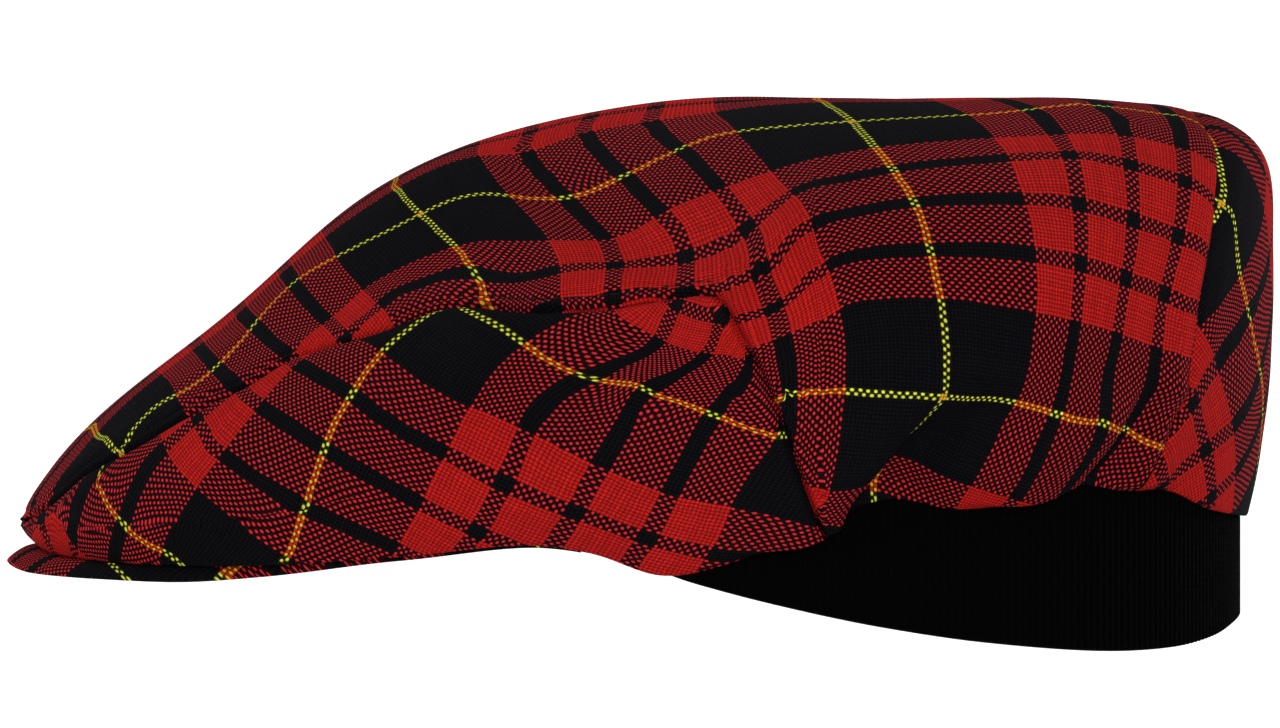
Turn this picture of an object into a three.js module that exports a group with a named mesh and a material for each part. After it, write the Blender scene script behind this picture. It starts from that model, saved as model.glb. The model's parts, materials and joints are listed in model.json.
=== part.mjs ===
// A tartan flat cap with a knitted ear flap, in millimetres, +Z up.
//
// The origin is the centre of the head opening, at the height of the crown's rim. The peak points
// along -X. Every place on the crown is given by two numbers: an angle round the head's axis
// (0 at the peak, 90 at the side, 180 at the back, mirrored for the other side) and a fraction of
// the way up the profile at that angle (0 at the rim, 1 at the top centre of the crown).
import * as THREE from 'three';

// ---- driving sizes ------------------------------------------------------------------------------

const CROWN_HEIGHT = 93.5;       // top centre of the crown above the head opening
const RIM_FRONT = 168;           // reach of the rim from the head's axis, under the front lip
const RIM_BACK = 100.6;
const RIM_HALF_WIDTH = 86;
const PEAK_PLAN_POWER = 2.4;     // superellipse powers of the rim's plan, before and behind the ears
const HEAD_PLAN_POWER = 2.2;
const CLOTH = 1.6;               // thickness of the crown's cloth
const SEAM_GAP = 0.4;            // clearance between pieces that are sewn together
const DIP_PLACE = 0.766;         // of the way from the head's axis to the lip, where the dip is deepest
const DIP_WIDTH = 0.178;
const PEAK_THICKNESS = 3.6;
const PEAK_HALF_ANGLE = 60;
const PEAK_RISE = 7;             // how far the peak climbs from its edge to the forehead
const PEAK_CAMBER = 3;
const OPENING_FRONT = 101;       // forehead edge of the peak
const OPENING_HALF_WIDTH = 80;
const FLAP_THICKNESS = 2.4;
const FLAP_START_ANGLE = 66;
const FLAP_TUCK = 8;             // height of the flap that is hidden inside the rim
const FLAP_INSET = 2.1;          // from the outside of the rim to the outside of the flap

// How finely each piece is divided.
const PROFILE_STEPS = 60;
const CROWN_ROWS = 22;
const ROW_SNAP = 0.35;           // of a row's spacing, within which a row joins its piece's edge
const FRONT_SEAM_COLUMNS = 22;
const RIM_COLUMNS = 9;
const BACK_SEAM_COLUMNS = 15;
const PEAK_COLUMNS = 26;
const PEAK_ROWS = 4;
const FLAP_COLUMNS = 50;
const FLAP_ROWS = 5;

// ---- short tables -------------------------------------------------------------------------------

// The crown's widest line and how its profile bends from there to the top centre. slopePower shapes
// the run towards the top and edgePower the shoulder: 1 is a sharp lip, 2 is round, 5 nearly square.
// slopeDip hollows the slope behind the front lip.
const CROWN = [
  { angle: 0, bulgeRadius: 171.2, bulgeHeight: 0.4, slopePower: 2.31, edgePower: 1.23, slopeDip: 9.1 },
  { angle: 15, bulgeRadius: 163.5, bulgeHeight: -1, slopePower: 2.3, edgePower: 1.3, slopeDip: 7.5 },
  { angle: 30, bulgeRadius: 140, bulgeHeight: 1, slopePower: 2.25, edgePower: 1.45, slopeDip: 4.5 },
  { angle: 45, bulgeRadius: 120.5, bulgeHeight: 8, slopePower: 2.2, edgePower: 1.65, slopeDip: 1.5 },
  { angle: 60, bulgeRadius: 110.5, bulgeHeight: 18, slopePower: 2.15, edgePower: 1.85, slopeDip: 0 },
  { angle: 75, bulgeRadius: 108, bulgeHeight: 28, slopePower: 2.15, edgePower: 2.05, slopeDip: 0 },
  { angle: 90, bulgeRadius: 109, bulgeHeight: 34, slopePower: 2.2, edgePower: 2.15, slopeDip: 0 },
  { angle: 105, bulgeRadius: 112, bulgeHeight: 38, slopePower: 2.3, edgePower: 2.25, slopeDip: 0 },
  { angle: 120, bulgeRadius: 114, bulgeHeight: 40, slopePower: 2.5, edgePower: 2.45, slopeDip: 0 },
  { angle: 135, bulgeRadius: 114, bulgeHeight: 44, slopePower: 2.9, edgePower: 2.8, slopeDip: 0 },
  { angle: 150, bulgeRadius: 111.5, bulgeHeight: 47, slopePower: 3.7, edgePower: 3.8, slopeDip: 0 },
  { angle: 165, bulgeRadius: 108.2, bulgeHeight: 49, slopePower: 4.6, edgePower: 4.9, slopeDip: 0 },
  { angle: 180, bulgeRadius: 106.6, bulgeHeight: 50, slopePower: 5.1, edgePower: 5.5, slopeDip: 0 },
];

// The height of the crown's lower edge: level over the peak, a dip at its corner, then gathers.
const RIM = [
  { angle: 0, height: -4 },
  { angle: 10, height: -7 },
  { angle: 20, height: -9 },
  { angle: 30, height: -9.2 },
  { angle: 42, height: -7.4 },
  { angle: 54, height: -4.9 },
  { angle: 62, height: -6.6 },
  { angle: 71, height: -11.4 },
  { angle: 80, height: -9 },
  { angle: 90, height: -3 },
  { angle: 98, height: 2.6 },
  { angle: 105, height: 5 },
  { angle: 113, height: 3 },
  { angle: 120, height: 4 },
  { angle: 129, height: 8.2 },
  { angle: 139, height: 7 },
  { angle: 147, height: 7 },
  { angle: 157, height: 3 },
  { angle: 180, height: 1.5 },
];

// The seam between the top panel and the front side panel, seen from the side: from the front lip
// up over the temple, round a corner, and down to the rim.
const FRONT_SEAM = [
  { x: -170.5, z: 0 },
  { x: -163, z: 4.5 },
  { x: -155, z: 11.5 },
  { x: -143, z: 18 },
  { x: -121, z: 29.5 },
  { x: -110, z: 36.5 },
  { x: -92, z: 41.5 },
  { x: -76, z: 48 },
  { x: -60, z: 47 },
  { x: -43, z: 47.5 },
  { x: -28, z: 50.4 },
  { x: -17, z: 49 },
  { x: -11.7, z: 41 },
  { x: -6.5, z: 30 },
  { x: -1, z: 16 },
  { x: 4, z: 2 },
];

// The arched seam between the top panel and the back panel, by angle from the centre back.
const BACK_SEAM = [
  { fromBack: 0, height: 91 },
  { fromBack: 11, height: 89.9 },
  { fromBack: 21, height: 86.3 },
  { fromBack: 27, height: 80 },
  { fromBack: 31.5, height: 73 },
  { fromBack: 34.5, height: 65 },
  { fromBack: 37, height: 55 },
  { fromBack: 38.6, height: 44 },
  { fromBack: 39.2, height: 27 },
  { fromBack: 39.5, height: 7.5 },
];

// Ridges (positive rise) and hollows (negative rise) in the cloth, each a soft line seen from the
// side, with its half width across.
const FOLDS = [
  { name: 'droop over the rim', fromX: -6, fromZ: 6, toX: 27, toZ: 35, width: 10, rise: 5 },
  { name: 'hollow behind the droop', fromX: 17, fromZ: 10, toX: 40, toZ: 20, width: 10, rise: -6 },
  { name: 'gather at the rim', fromX: 60, fromZ: 10, toX: 74, toZ: 27, width: 5, rise: -4 },
  { name: 'roll before the gather', fromX: 38, fromZ: 10, toX: 58, toZ: 28, width: 7, rise: 2.5 },
  { name: 'roll behind the gather', fromX: 72, fromZ: 12, toX: 82, toZ: 26, width: 6, rise: 2.5 },
  { name: 'valley on the top', fromX: -52, fromZ: 73, toX: -18, toZ: 53, width: 10, rise: -3.5 },
  { name: 'ridge to the seam corner', fromX: 8, fromZ: 72, toX: -8, toZ: 50, width: 8, rise: 3.5 },
  { name: 'trough in the side panel', fromX: -58, fromZ: 22, toX: -30, toZ: 38, width: 9, rise: -3.5 },
  { name: 'roll in the side panel', fromX: -40, fromZ: 24, toX: -12, toZ: 36, width: 7, rise: 2 },
  { name: 'puff under the front seam', fromX: -130, fromZ: 14, toX: -70, toZ: 38, width: 9, rise: 1.8 },
  { name: 'dip along the front slope', fromX: -120, fromZ: 38, toX: -60, toZ: 56, width: 8, rise: -1.6 },
];

// The part of the peak that shows: how far its edge stands out past the rim, and its top below it.
const PEAK_EDGE = [
  { angle: 0, standOut: 6, below: 1.4 },
  { angle: 9, standOut: 5, below: 1 },
  { angle: 18, standOut: 2.6, below: 0.4 },
  { angle: 24, standOut: -0.8, below: 0.35 },
  { angle: 30, standOut: -2.5, below: -0.8 },
  { angle: 40, standOut: -2.6, below: -2.6 },
  { angle: 60, standOut: -2.6, below: -3 },
];

// The lower edge of the knitted flap.
const FLAP_EDGE = [
  { angle: 66, height: -11.4 },
  { angle: 79, height: -15 },
  { angle: 91, height: -19.4 },
  { angle: 103, height: -23 },
  { angle: 118, height: -26.3 },
  { angle: 136, height: -28.3 },
  { angle: 150, height: -27.6 },
  { angle: 160, height: -25.4 },
  { angle: 170, height: -22.4 },
  { angle: 180, height: -21 },
];

// ---- small helpers ------------------------------------------------------------------------------

const radians = (degrees) => degrees * Math.PI / 180;

const clamp01 = (value) => Math.min(1, Math.max(0, value));

function smoothStep(value) {
  const t = clamp01(value);
  return t * t * (3 - 2 * t);
}

// A smooth curve through a table's rows: the named column as a function of the key column.
function throughRows(rows, key, column) {
  const keys = rows.map((row) => row[key]);
  const values = rows.map((row) => row[column]);
  const slopes = values.map((value, i) => {
    if (i === 0 || i === values.length - 1) return 0;
    return (values[i + 1] - values[i - 1]) / (keys[i + 1] - keys[i - 1]);
  });
  return (at) => {
    let i = 0;
    while (i < keys.length - 2 && at > keys[i + 1]) i += 1;
    const span = keys[i + 1] - keys[i];
    const t = clamp01((at - keys[i]) / span);
    const t2 = t * t;
    const t3 = t2 * t;
    return (2 * t3 - 3 * t2 + 1) * values[i] + (t3 - 2 * t2 + t) * span * slopes[i]
      + (3 * t2 - 2 * t3) * values[i + 1] + (t3 - t2) * span * slopes[i + 1];
  };
}

// The value between 0 and limit at which a rising function reaches its target.
function solveRising(rising, target, limit) {
  let low = 0;
  let high = limit;
  for (let step = 0; step < 40; step += 1) {
    const middle = (low + high) / 2;
    if (rising(middle) < target) low = middle;
    else high = middle;
  }
  return (low + high) / 2;
}

function superellipse(angle, length, halfWidth, power) {
  const along = Math.abs(Math.cos(radians(angle))) / length;
  const across = Math.abs(Math.sin(radians(angle))) / halfWidth;
  return (along ** power + across ** power) ** (-1 / power);
}

// ---- the crown's surface ------------------------------------------------------------------------

const bulgeRadius = throughRows(CROWN, 'angle', 'bulgeRadius');
const bulgeHeight = throughRows(CROWN, 'angle', 'bulgeHeight');
const slopePower = throughRows(CROWN, 'angle', 'slopePower');
const edgePower = throughRows(CROWN, 'angle', 'edgePower');
const slopeDip = throughRows(CROWN, 'angle', 'slopeDip');
const rimHeight = throughRows(RIM, 'angle', 'height');

function rimRadius(angle) {
  if (angle < 90) return superellipse(angle, RIM_FRONT, RIM_HALF_WIDTH, PEAK_PLAN_POWER);
  return superellipse(angle, RIM_BACK, RIM_HALF_WIDTH, HEAD_PLAN_POWER);
}

// The profile at one angle as points of equal spacing, from the rim to the top centre.
const profiles = new Map();

function profileAt(angle) {
  const known = profiles.get(angle);
  if (known) return known;
  const rimR = rimRadius(angle);
  const rimZ = rimHeight(angle);
  const bulgeR = bulgeRadius(angle);
  const bulgeZ = bulgeHeight(angle);
  const slope = slopePower(angle);
  const edge = edgePower(angle);
  const rough = [];
  for (let i = 0; i < PROFILE_STEPS; i += 1) {
    const t = i / PROFILE_STEPS;
    const out = 1 - (1 - t) ** 2;
    rough.push(new THREE.Vector2(rimR + (bulgeR - rimR) * out, rimZ + (bulgeZ - rimZ) * t));
  }
  for (let i = 0; i <= 2 * PROFILE_STEPS; i += 1) {
    const turn = (Math.PI / 2) * (i / (2 * PROFILE_STEPS)) ** 1.5;
    const out = Math.cos(turn) ** (2 / slope);
    const dip = slopeDip(angle) * Math.exp(-(((out - DIP_PLACE) / DIP_WIDTH) ** 2));
    const z = bulgeZ + (CROWN_HEIGHT - bulgeZ) * Math.sin(turn) ** (2 / edge) - dip;
    rough.push(new THREE.Vector2(bulgeR * out, z));
  }
  const lengths = [0];
  for (let i = 1; i < rough.length; i += 1) {
    lengths.push(lengths[i - 1] + rough[i].distanceTo(rough[i - 1]));
  }
  const profile = { points: rough, lengths, length: lengths[lengths.length - 1] };
  profiles.set(angle, profile);
  return profile;
}

function profilePoint(angle, fraction) {
  const { points, lengths, length } = profileAt(angle);
  const along = clamp01(fraction) * length;
  let low = 0;
  let high = lengths.length - 1;
  while (high - low > 1) {
    const middle = (low + high) >> 1;
    if (lengths[middle] <= along) low = middle;
    else high = middle;
  }
  const t = (along - lengths[low]) / (lengths[high] - lengths[low] || 1);
  return points[low].clone().lerp(points[high], t);
}

const fractionAtHeight = (angle, height) => solveRising((f) => profilePoint(angle, f).y, height, 1);

function placeOnSmoothCrown(angle, fraction) {
  const turned = Math.min(Math.abs(angle), 360 - Math.abs(angle));
  const { x: r, y: z } = profilePoint(turned, fraction);
  return new THREE.Vector3(-r * Math.cos(radians(angle)), r * Math.sin(radians(angle)), z);
}

// How far the folds lift the cloth at a place seen from the side.
function foldRise(x, z, aboveRim) {
  let rise = 0;
  for (const fold of FOLDS) {
    const runX = fold.toX - fold.fromX;
    const runZ = fold.toZ - fold.fromZ;
    const t = clamp01(((x - fold.fromX) * runX + (z - fold.fromZ) * runZ) / (runX ** 2 + runZ ** 2));
    const apart = Math.hypot(x - fold.fromX - runX * t, z - fold.fromZ - runZ * t);
    rise += fold.rise * Math.exp(-((apart / fold.width) ** 2));
  }
  return rise * smoothStep(aboveRim / 10);
}

function outwardNormal(angle, fraction) {
  if (fraction > 0.995) return new THREE.Vector3(0, 0, 1);
  const step = 0.022;
  const round = placeOnSmoothCrown(angle + 0.5, fraction).sub(placeOnSmoothCrown(angle - 0.5, fraction));
  const low = Math.max(0, fraction - step);
  const up = placeOnSmoothCrown(angle, fraction + step).sub(placeOnSmoothCrown(angle, low));
  return up.cross(round).normalize();
}

// A place on the crown's cloth, sunk below its outer surface by depth.
function placeOnCrown(angle, fraction, depth) {
  const place = placeOnSmoothCrown(angle, fraction);
  const aboveRim = fraction * profileAt(Math.min(Math.abs(angle), 360 - Math.abs(angle))).length;
  const lift = foldRise(place.x, place.z, aboveRim) * smoothStep(Math.abs(place.y) / 25);
  return place.addScaledVector(outwardNormal(angle, fraction), lift - depth);
}

// ---- seams --------------------------------------------------------------------------------------

// Turns a point of the side view into an angle and a fraction on the near side of the crown.
function angleOfSidePoint(x, z) {
  const forward = (angle) => -profilePoint(angle, fractionAtHeight(angle, z)).x * Math.cos(radians(angle));
  return solveRising(forward, x, 180);
}

function seamStops(count, placeAt) {
  const stops = [];
  for (let i = 0; i <= count; i += 1) stops.push(placeAt(i / count));
  return stops;
}

function frontSeamStops() {
  const points = FRONT_SEAM.map((row) => new THREE.Vector3(row.x, 0, row.z));
  const curve = new THREE.CatmullRomCurve3(points, false, 'centripetal');
  return seamStops(FRONT_SEAM_COLUMNS, (t) => {
    const { x, z } = curve.getPointAt(t);
    const angle = t === 0 ? 0 : angleOfSidePoint(x, z);
    return { angle, fraction: fractionAtHeight(angle, z) };
  });
}

function backSeamStops() {
  const points = BACK_SEAM.map((row) => {
    const angle = 180 - row.fromBack;
    const fraction = fractionAtHeight(angle, row.height);
    const { x: r } = profilePoint(angle, fraction);
    return new THREE.Vector3(radians(row.fromBack) * r, fraction * profileAt(angle).length, row.fromBack);
  });
  const curve = new THREE.CatmullRomCurve3(points.reverse(), false, 'centripetal');
  return seamStops(BACK_SEAM_COLUMNS, (t) => {
    const { y: climb, z: fromBack } = curve.getPointAt(t);
    const angle = 180 - fromBack;
    return { angle, fraction: clamp01(climb / profileAt(angle).length) };
  });
}

// Moves each stop of a seam up its profile until the cloth is clear of the seam line.
function clearOfSeam(stops, clearance) {
  return stops.map((stop, i) => {
    const before = stops[Math.max(0, i - 1)];
    const after = stops[Math.min(stops.length - 1, i + 1)];
    const { length } = profileAt(stop.angle);
    const climb = (after.fraction - before.fraction) * length;
    const round = radians(after.angle - before.angle) * profilePoint(stop.angle, stop.fraction).x;
    const slant = Math.min(8, Math.hypot(1, climb / Math.max(round, 0.01)));
    return { angle: stop.angle, fraction: clamp01(stop.fraction + clearance * slant / length) };
  });
}

const frontSeam = frontSeamStops();
const backSeam = backSeamStops();
const HALF_GAP = SEAM_GAP / 2;

// ---- closed shells ------------------------------------------------------------------------------

// A closed mesh from a grid of outer places and the matching inner places. A grid that closes on
// itself has no end walls, and rows that meet in a point lose their empty triangles.
function shellGeometry(columns, rows, placeAt, wraps) {
  const positions = [];
  const corner = (column, row, side) => placeAt(wraps ? column % columns : column, row, side);
  const triangle = (a, b, c) => {
    const smallest = Math.min(a.distanceTo(b), b.distanceTo(c), c.distanceTo(a));
    if (smallest > 2e-3) positions.push(...a.toArray(), ...b.toArray(), ...c.toArray());
  };
  const quad = (a, b, c, d) => {
    triangle(a, b, c);
    triangle(a, c, d);
  };
  for (let i = 0; i < columns; i += 1) {
    for (let j = 0; j < rows; j += 1) {
      quad(corner(i, j, 0), corner(i, j + 1, 0), corner(i + 1, j + 1, 0), corner(i + 1, j, 0));
      quad(corner(i, j, 1), corner(i + 1, j, 1), corner(i + 1, j + 1, 1), corner(i, j + 1, 1));
    }
    quad(corner(i, 0, 0), corner(i + 1, 0, 0), corner(i + 1, 0, 1), corner(i, 0, 1));
    quad(corner(i, rows, 1), corner(i + 1, rows, 1), corner(i + 1, rows, 0), corner(i, rows, 0));
  }
  for (let j = 0; !wraps && j < rows; j += 1) {
    quad(corner(0, j, 1), corner(0, j + 1, 1), corner(0, j + 1, 0), corner(0, j, 0));
    quad(corner(columns, j, 0), corner(columns, j + 1, 0), corner(columns, j + 1, 1), corner(columns, j, 1));
  }
  const geometry = new THREE.BufferGeometry();
  geometry.setAttribute('position', new THREE.Float32BufferAttribute(positions, 3));
  geometry.computeVertexNormals();
  return geometry;
}

// A row's fraction, held between the ends of its column. Near an end it snaps to the end.
function rowFraction(row, low, high) {
  const spacing = 1 / CROWN_ROWS;
  const level = row * spacing;
  if (level < low + spacing * ROW_SNAP) return low;
  if (level > high - spacing * ROW_SNAP) return high;
  return level;
}

// A panel of cloth between a lower and an upper list of stops, on rows shared by all the panels.
function clothPanel(lower, upper, wraps = false) {
  const columns = wraps ? lower.length : lower.length - 1;
  const places = lower.map((low, i) => {
    const column = [];
    for (let j = 0; j <= CROWN_ROWS; j += 1) {
      const fraction = rowFraction(j, low.fraction, upper[i].fraction);
      column.push([0, CLOTH].map((depth) => placeOnCrown(low.angle, fraction, depth)));
    }
    return column;
  });
  return shellGeometry(columns, CROWN_ROWS, (i, j, side) => places[i][j][side], wraps);
}

const atFraction = (stops, fraction) => stops.map(({ angle }) => ({ angle, fraction }));

const mirrored = (stops) => stops.map(({ angle, fraction }) => ({ angle: -angle, fraction })).reverse();

// ---- the pieces ---------------------------------------------------------------------------------

function crownTop() {
  const front = clearOfSeam(frontSeam, HALF_GAP);
  const back = clearOfSeam(backSeam, HALF_GAP);
  const foot = front[front.length - 1].angle;
  const heel = back[0].angle;
  const rim = seamStops(RIM_COLUMNS, (t) => ({ angle: foot + (heel - foot) * t, fraction: 0 }));
  const half = [...front.slice(0, -1), ...rim, ...back.slice(1)];
  const otherHalf = mirrored(half.slice(1, -1)).map(({ angle, fraction }) => ({ angle: 360 + angle, fraction }));
  const edge = [...half, ...otherHalf];
  return clothPanel(edge, atFraction(edge, 1), true);
}

function frontSidePanel(isLeft) {
  const seam = clearOfSeam(frontSeam, -HALF_GAP).slice(0, -1);
  seam[0].angle = HALF_GAP / RIM_FRONT * 180 / Math.PI;
  const upper = isLeft ? mirrored(seam) : seam;
  return clothPanel(atFraction(upper, 0), upper);
}

function backPanel() {
  const near = clearOfSeam(backSeam, -HALF_GAP).slice(1);
  const far = mirrored(near.slice(0, -1)).map(({ angle, fraction }) => ({ angle: 360 + angle, fraction }));
  const upper = [...near, ...far];
  return clothPanel(atFraction(upper, 0), upper);
}

function peak() {
  const standOut = throughRows(PEAK_EDGE, 'angle', 'standOut');
  const below = throughRows(PEAK_EDGE, 'angle', 'below');
  return shellGeometry(PEAK_COLUMNS, PEAK_ROWS, (i, j, side) => {
    const angle = PEAK_HALF_ANGLE * (2 * i / PEAK_COLUMNS - 1);
    const turned = Math.abs(angle);
    const inward = j / PEAK_ROWS;
    const edgeR = rimRadius(turned) + standOut(turned);
    const headR = superellipse(turned, OPENING_FRONT, OPENING_HALF_WIDTH, HEAD_PLAN_POWER);
    const r = edgeR + (headR - edgeR) * inward;
    const climb = PEAK_RISE * Math.cos(radians(turned)) * inward;
    const camber = PEAK_CAMBER * Math.cos(radians(turned)) * Math.sin(Math.PI * inward);
    const tip = j === 0 ? PEAK_THICKNESS * 0.3 : 0;
    const top = rimHeight(turned) - below(turned) + climb + camber;
    const z = side === 0 ? top - tip : top - PEAK_THICKNESS + tip;
    return new THREE.Vector3(-r * Math.cos(radians(angle)), r * Math.sin(radians(angle)), z);
  }, false);
}

function earFlap() {
  const lowerEdge = throughRows(FLAP_EDGE, 'angle', 'height');
  return shellGeometry(FLAP_COLUMNS, FLAP_ROWS, (i, j, side) => {
    const angle = FLAP_START_ANGLE + (360 - 2 * FLAP_START_ANGLE) * i / FLAP_COLUMNS;
    const turned = Math.min(angle, 360 - angle);
    const top = rimHeight(turned) + FLAP_TUCK;
    const low = lowerEdge(turned);
    const z = low + (top - low) * j / FLAP_ROWS;
    const r = rimRadius(turned) - FLAP_INSET - side * FLAP_THICKNESS;
    return new THREE.Vector3(-r * Math.cos(radians(angle)), r * Math.sin(radians(angle)), z);
  }, false);
}

// ---- assembly -----------------------------------------------------------------------------------

const tartan = () => new THREE.MeshStandardMaterial({ color: 0x8c1a18, roughness: 0.9, metalness: 0 });
const ribKnit = () => new THREE.MeshStandardMaterial({ color: 0x08080a, roughness: 0.95, metalness: 0 });

function namedMesh(name, geometry, material) {
  const mesh = new THREE.Mesh(geometry, material);
  mesh.name = name;
  return mesh;
}

const flatCap = new THREE.Group();
flatCap.add(
  namedMesh('crown_top', crownTop(), tartan()),
  namedMesh('front_side_left', frontSidePanel(true), tartan()),
  namedMesh('front_side_right', frontSidePanel(false), tartan()),
  namedMesh('back_panel', backPanel(), tartan()),
  namedMesh('peak', peak(), tartan()),
  namedMesh('ear_flap', earFlap(), ribKnit()),
);

export default flatCap;
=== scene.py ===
"""A tartan flat cap with a knitted ear flap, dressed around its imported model.

The crown is one smooth form, cut into sewn panels. Each panel is laid flat by relaxing its cloth,
so that the tartan runs over it as it would on a cut and sewn piece. Lengths are millimetres of the
form, angles are degrees round the head's axis from the peak, and the frame's box sets the scale.
"""

import json
import logging
import math
from collections.abc import Callable, Sequence
from dataclasses import dataclass, field
from enum import Enum

import bmesh
import bpy
import numpy as np
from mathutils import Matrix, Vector
from mathutils.geometry import delaunay_2d_cdt
from mathutils.kdtree import KDTree

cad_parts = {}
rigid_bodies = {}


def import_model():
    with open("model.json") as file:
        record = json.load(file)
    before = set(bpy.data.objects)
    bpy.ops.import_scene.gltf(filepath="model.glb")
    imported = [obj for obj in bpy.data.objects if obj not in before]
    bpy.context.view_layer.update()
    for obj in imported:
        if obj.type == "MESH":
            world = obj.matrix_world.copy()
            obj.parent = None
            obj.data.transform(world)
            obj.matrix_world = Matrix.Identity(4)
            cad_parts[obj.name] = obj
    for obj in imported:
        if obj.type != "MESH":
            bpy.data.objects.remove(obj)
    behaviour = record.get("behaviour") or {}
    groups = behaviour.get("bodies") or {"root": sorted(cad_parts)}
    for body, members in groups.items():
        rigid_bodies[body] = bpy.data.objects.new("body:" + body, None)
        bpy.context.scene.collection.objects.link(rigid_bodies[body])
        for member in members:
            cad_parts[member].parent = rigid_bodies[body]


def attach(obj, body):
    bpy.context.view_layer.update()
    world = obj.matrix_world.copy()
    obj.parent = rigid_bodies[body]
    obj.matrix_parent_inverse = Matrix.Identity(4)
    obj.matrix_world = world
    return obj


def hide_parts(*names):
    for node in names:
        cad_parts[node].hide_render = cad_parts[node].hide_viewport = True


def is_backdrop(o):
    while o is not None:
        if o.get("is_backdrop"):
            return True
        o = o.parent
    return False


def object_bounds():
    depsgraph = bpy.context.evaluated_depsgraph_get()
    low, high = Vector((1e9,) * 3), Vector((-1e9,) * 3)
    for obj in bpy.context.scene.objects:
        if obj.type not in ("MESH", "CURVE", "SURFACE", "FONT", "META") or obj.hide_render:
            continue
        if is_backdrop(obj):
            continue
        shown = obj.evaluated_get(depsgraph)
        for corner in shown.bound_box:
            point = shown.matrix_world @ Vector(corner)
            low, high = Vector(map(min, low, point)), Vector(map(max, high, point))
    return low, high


LOG = logging.getLogger("flat_cap")
BODY = "root"
CLOTH_MAP = "Cloth"
FORM_LENGTH = 281.0      # the whole cap, from the peak to the back
THREAD_PITCH = 0.89
CLOTH_THICKNESS = 1.6
FLIP = np.array([-1, 1])          # turns a stop to the other side of the centre line
MIRROR = np.array([1, -1, 1])     # turns a place to the other side
TINY = 1e-9
Path = tuple[tuple[float, float], ...]


# ---- small helpers ----

def smooth_step(value: np.ndarray) -> np.ndarray:
    """Eases a value from 0 to 1."""
    t = np.clip(value, 0.0, 1.0)
    return t * t * (3.0 - 2.0 * t)


def bell(distance: np.ndarray, width: float) -> np.ndarray:
    """A soft bump, 1 at its centre, that is nearly gone at twice its width."""
    return np.exp(-((distance / width) ** 2))


def cross(first: np.ndarray, second: np.ndarray) -> np.ndarray:
    """The cross product of flat vectors."""
    return first[..., 0] * second[..., 1] - first[..., 1] * second[..., 0]


def directions(vectors: np.ndarray) -> np.ndarray:
    """Vectors made one long, where they have any length."""
    return vectors / np.maximum(np.linalg.norm(vectors, axis=-1, keepdims=True), TINY)


def linear_fit(places: np.ndarray, values: np.ndarray) -> np.ndarray:
    """The nearest linear rule from flat places to values: two slopes and a constant."""
    return np.linalg.lstsq(np.column_stack([places, np.ones(len(places))]), values, rcond=None)[0]


def hermite(t: np.ndarray, start: np.ndarray, end: np.ndarray, leaving: np.ndarray,
            arriving: np.ndarray) -> np.ndarray:
    """The cubic between two values, with its slope at each."""
    t2, t3 = t * t, t * t * t
    return ((2 * t3 - 3 * t2 + 1) * start + (t3 - 2 * t2 + t) * leaving
            + (3 * t2 - 2 * t3) * end + (t3 - t2) * arriving)


def through(keys: Sequence[float], values: Sequence[float]) -> Callable[[np.ndarray], np.ndarray]:
    """Makes a smooth curve through a table's rows, level at both ends.

    Args:
        keys: the rising key of each row.
        values: the value of each row.

    Returns:
        A function from keys to values.
    """
    k, v = np.asarray(keys, float), np.asarray(values, float)
    slopes = np.zeros(len(k))
    slopes[1:-1] = (v[2:] - v[:-2]) / (k[2:] - k[:-2])

    def curve(at: np.ndarray) -> np.ndarray:
        """The curve's value at a key."""
        x = np.clip(np.asarray(at, float), k[0], k[-1])
        i = np.clip(np.searchsorted(k, x, side="right") - 1, 0, len(k) - 2)
        span = k[i + 1] - k[i]
        return hermite((x - k[i]) / span, v[i], v[i + 1], span * slopes[i], span * slopes[i + 1])

    return curve


def travelled(points: np.ndarray) -> np.ndarray:
    """How far along a line of points each one lies."""
    return np.concatenate([[0], np.cumsum(np.linalg.norm(np.diff(points, axis=0), axis=1))])


def evenly(points: np.ndarray, values: np.ndarray, count: int) -> np.ndarray:
    """Reads values that lie beside a line's points at even steps along the line.

    Args:
        points: the line's points, one a row.
        values: the values beside them.
        count: the number of steps.

    Returns:
        count + 1 rows of values.
    """
    length = travelled(points)
    at = np.linspace(0, length[-1], count + 1)
    return np.column_stack([np.interp(at, length, column) for column in values.T])


def even_path(points: np.ndarray, count: int, fine: int = 40) -> np.ndarray:
    """Runs a smooth path through points and steps along it evenly.

    Args:
        points: the path's points, one a row. Only the first two columns measure its length.
        count: the number of steps.
        fine: how finely each stretch between two points is followed.

    Returns:
        count + 1 points along the path.
    """
    p = np.asarray(points, float)
    padded = np.vstack([2 * p[0] - p[1], p, 2 * p[-1] - p[-2]])
    t = np.linspace(0, 1, fine, endpoint=False)[:, None]
    runs = [hermite(t, b, c, (c - a) / 2, (d - b) / 2)
            for a, b, c, d in zip(padded[:-3], padded[1:-2], padded[2:-1], padded[3:])]
    path = np.vstack(runs + [p[-1:]])
    return evenly(path[:, :2], path, count)


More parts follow.
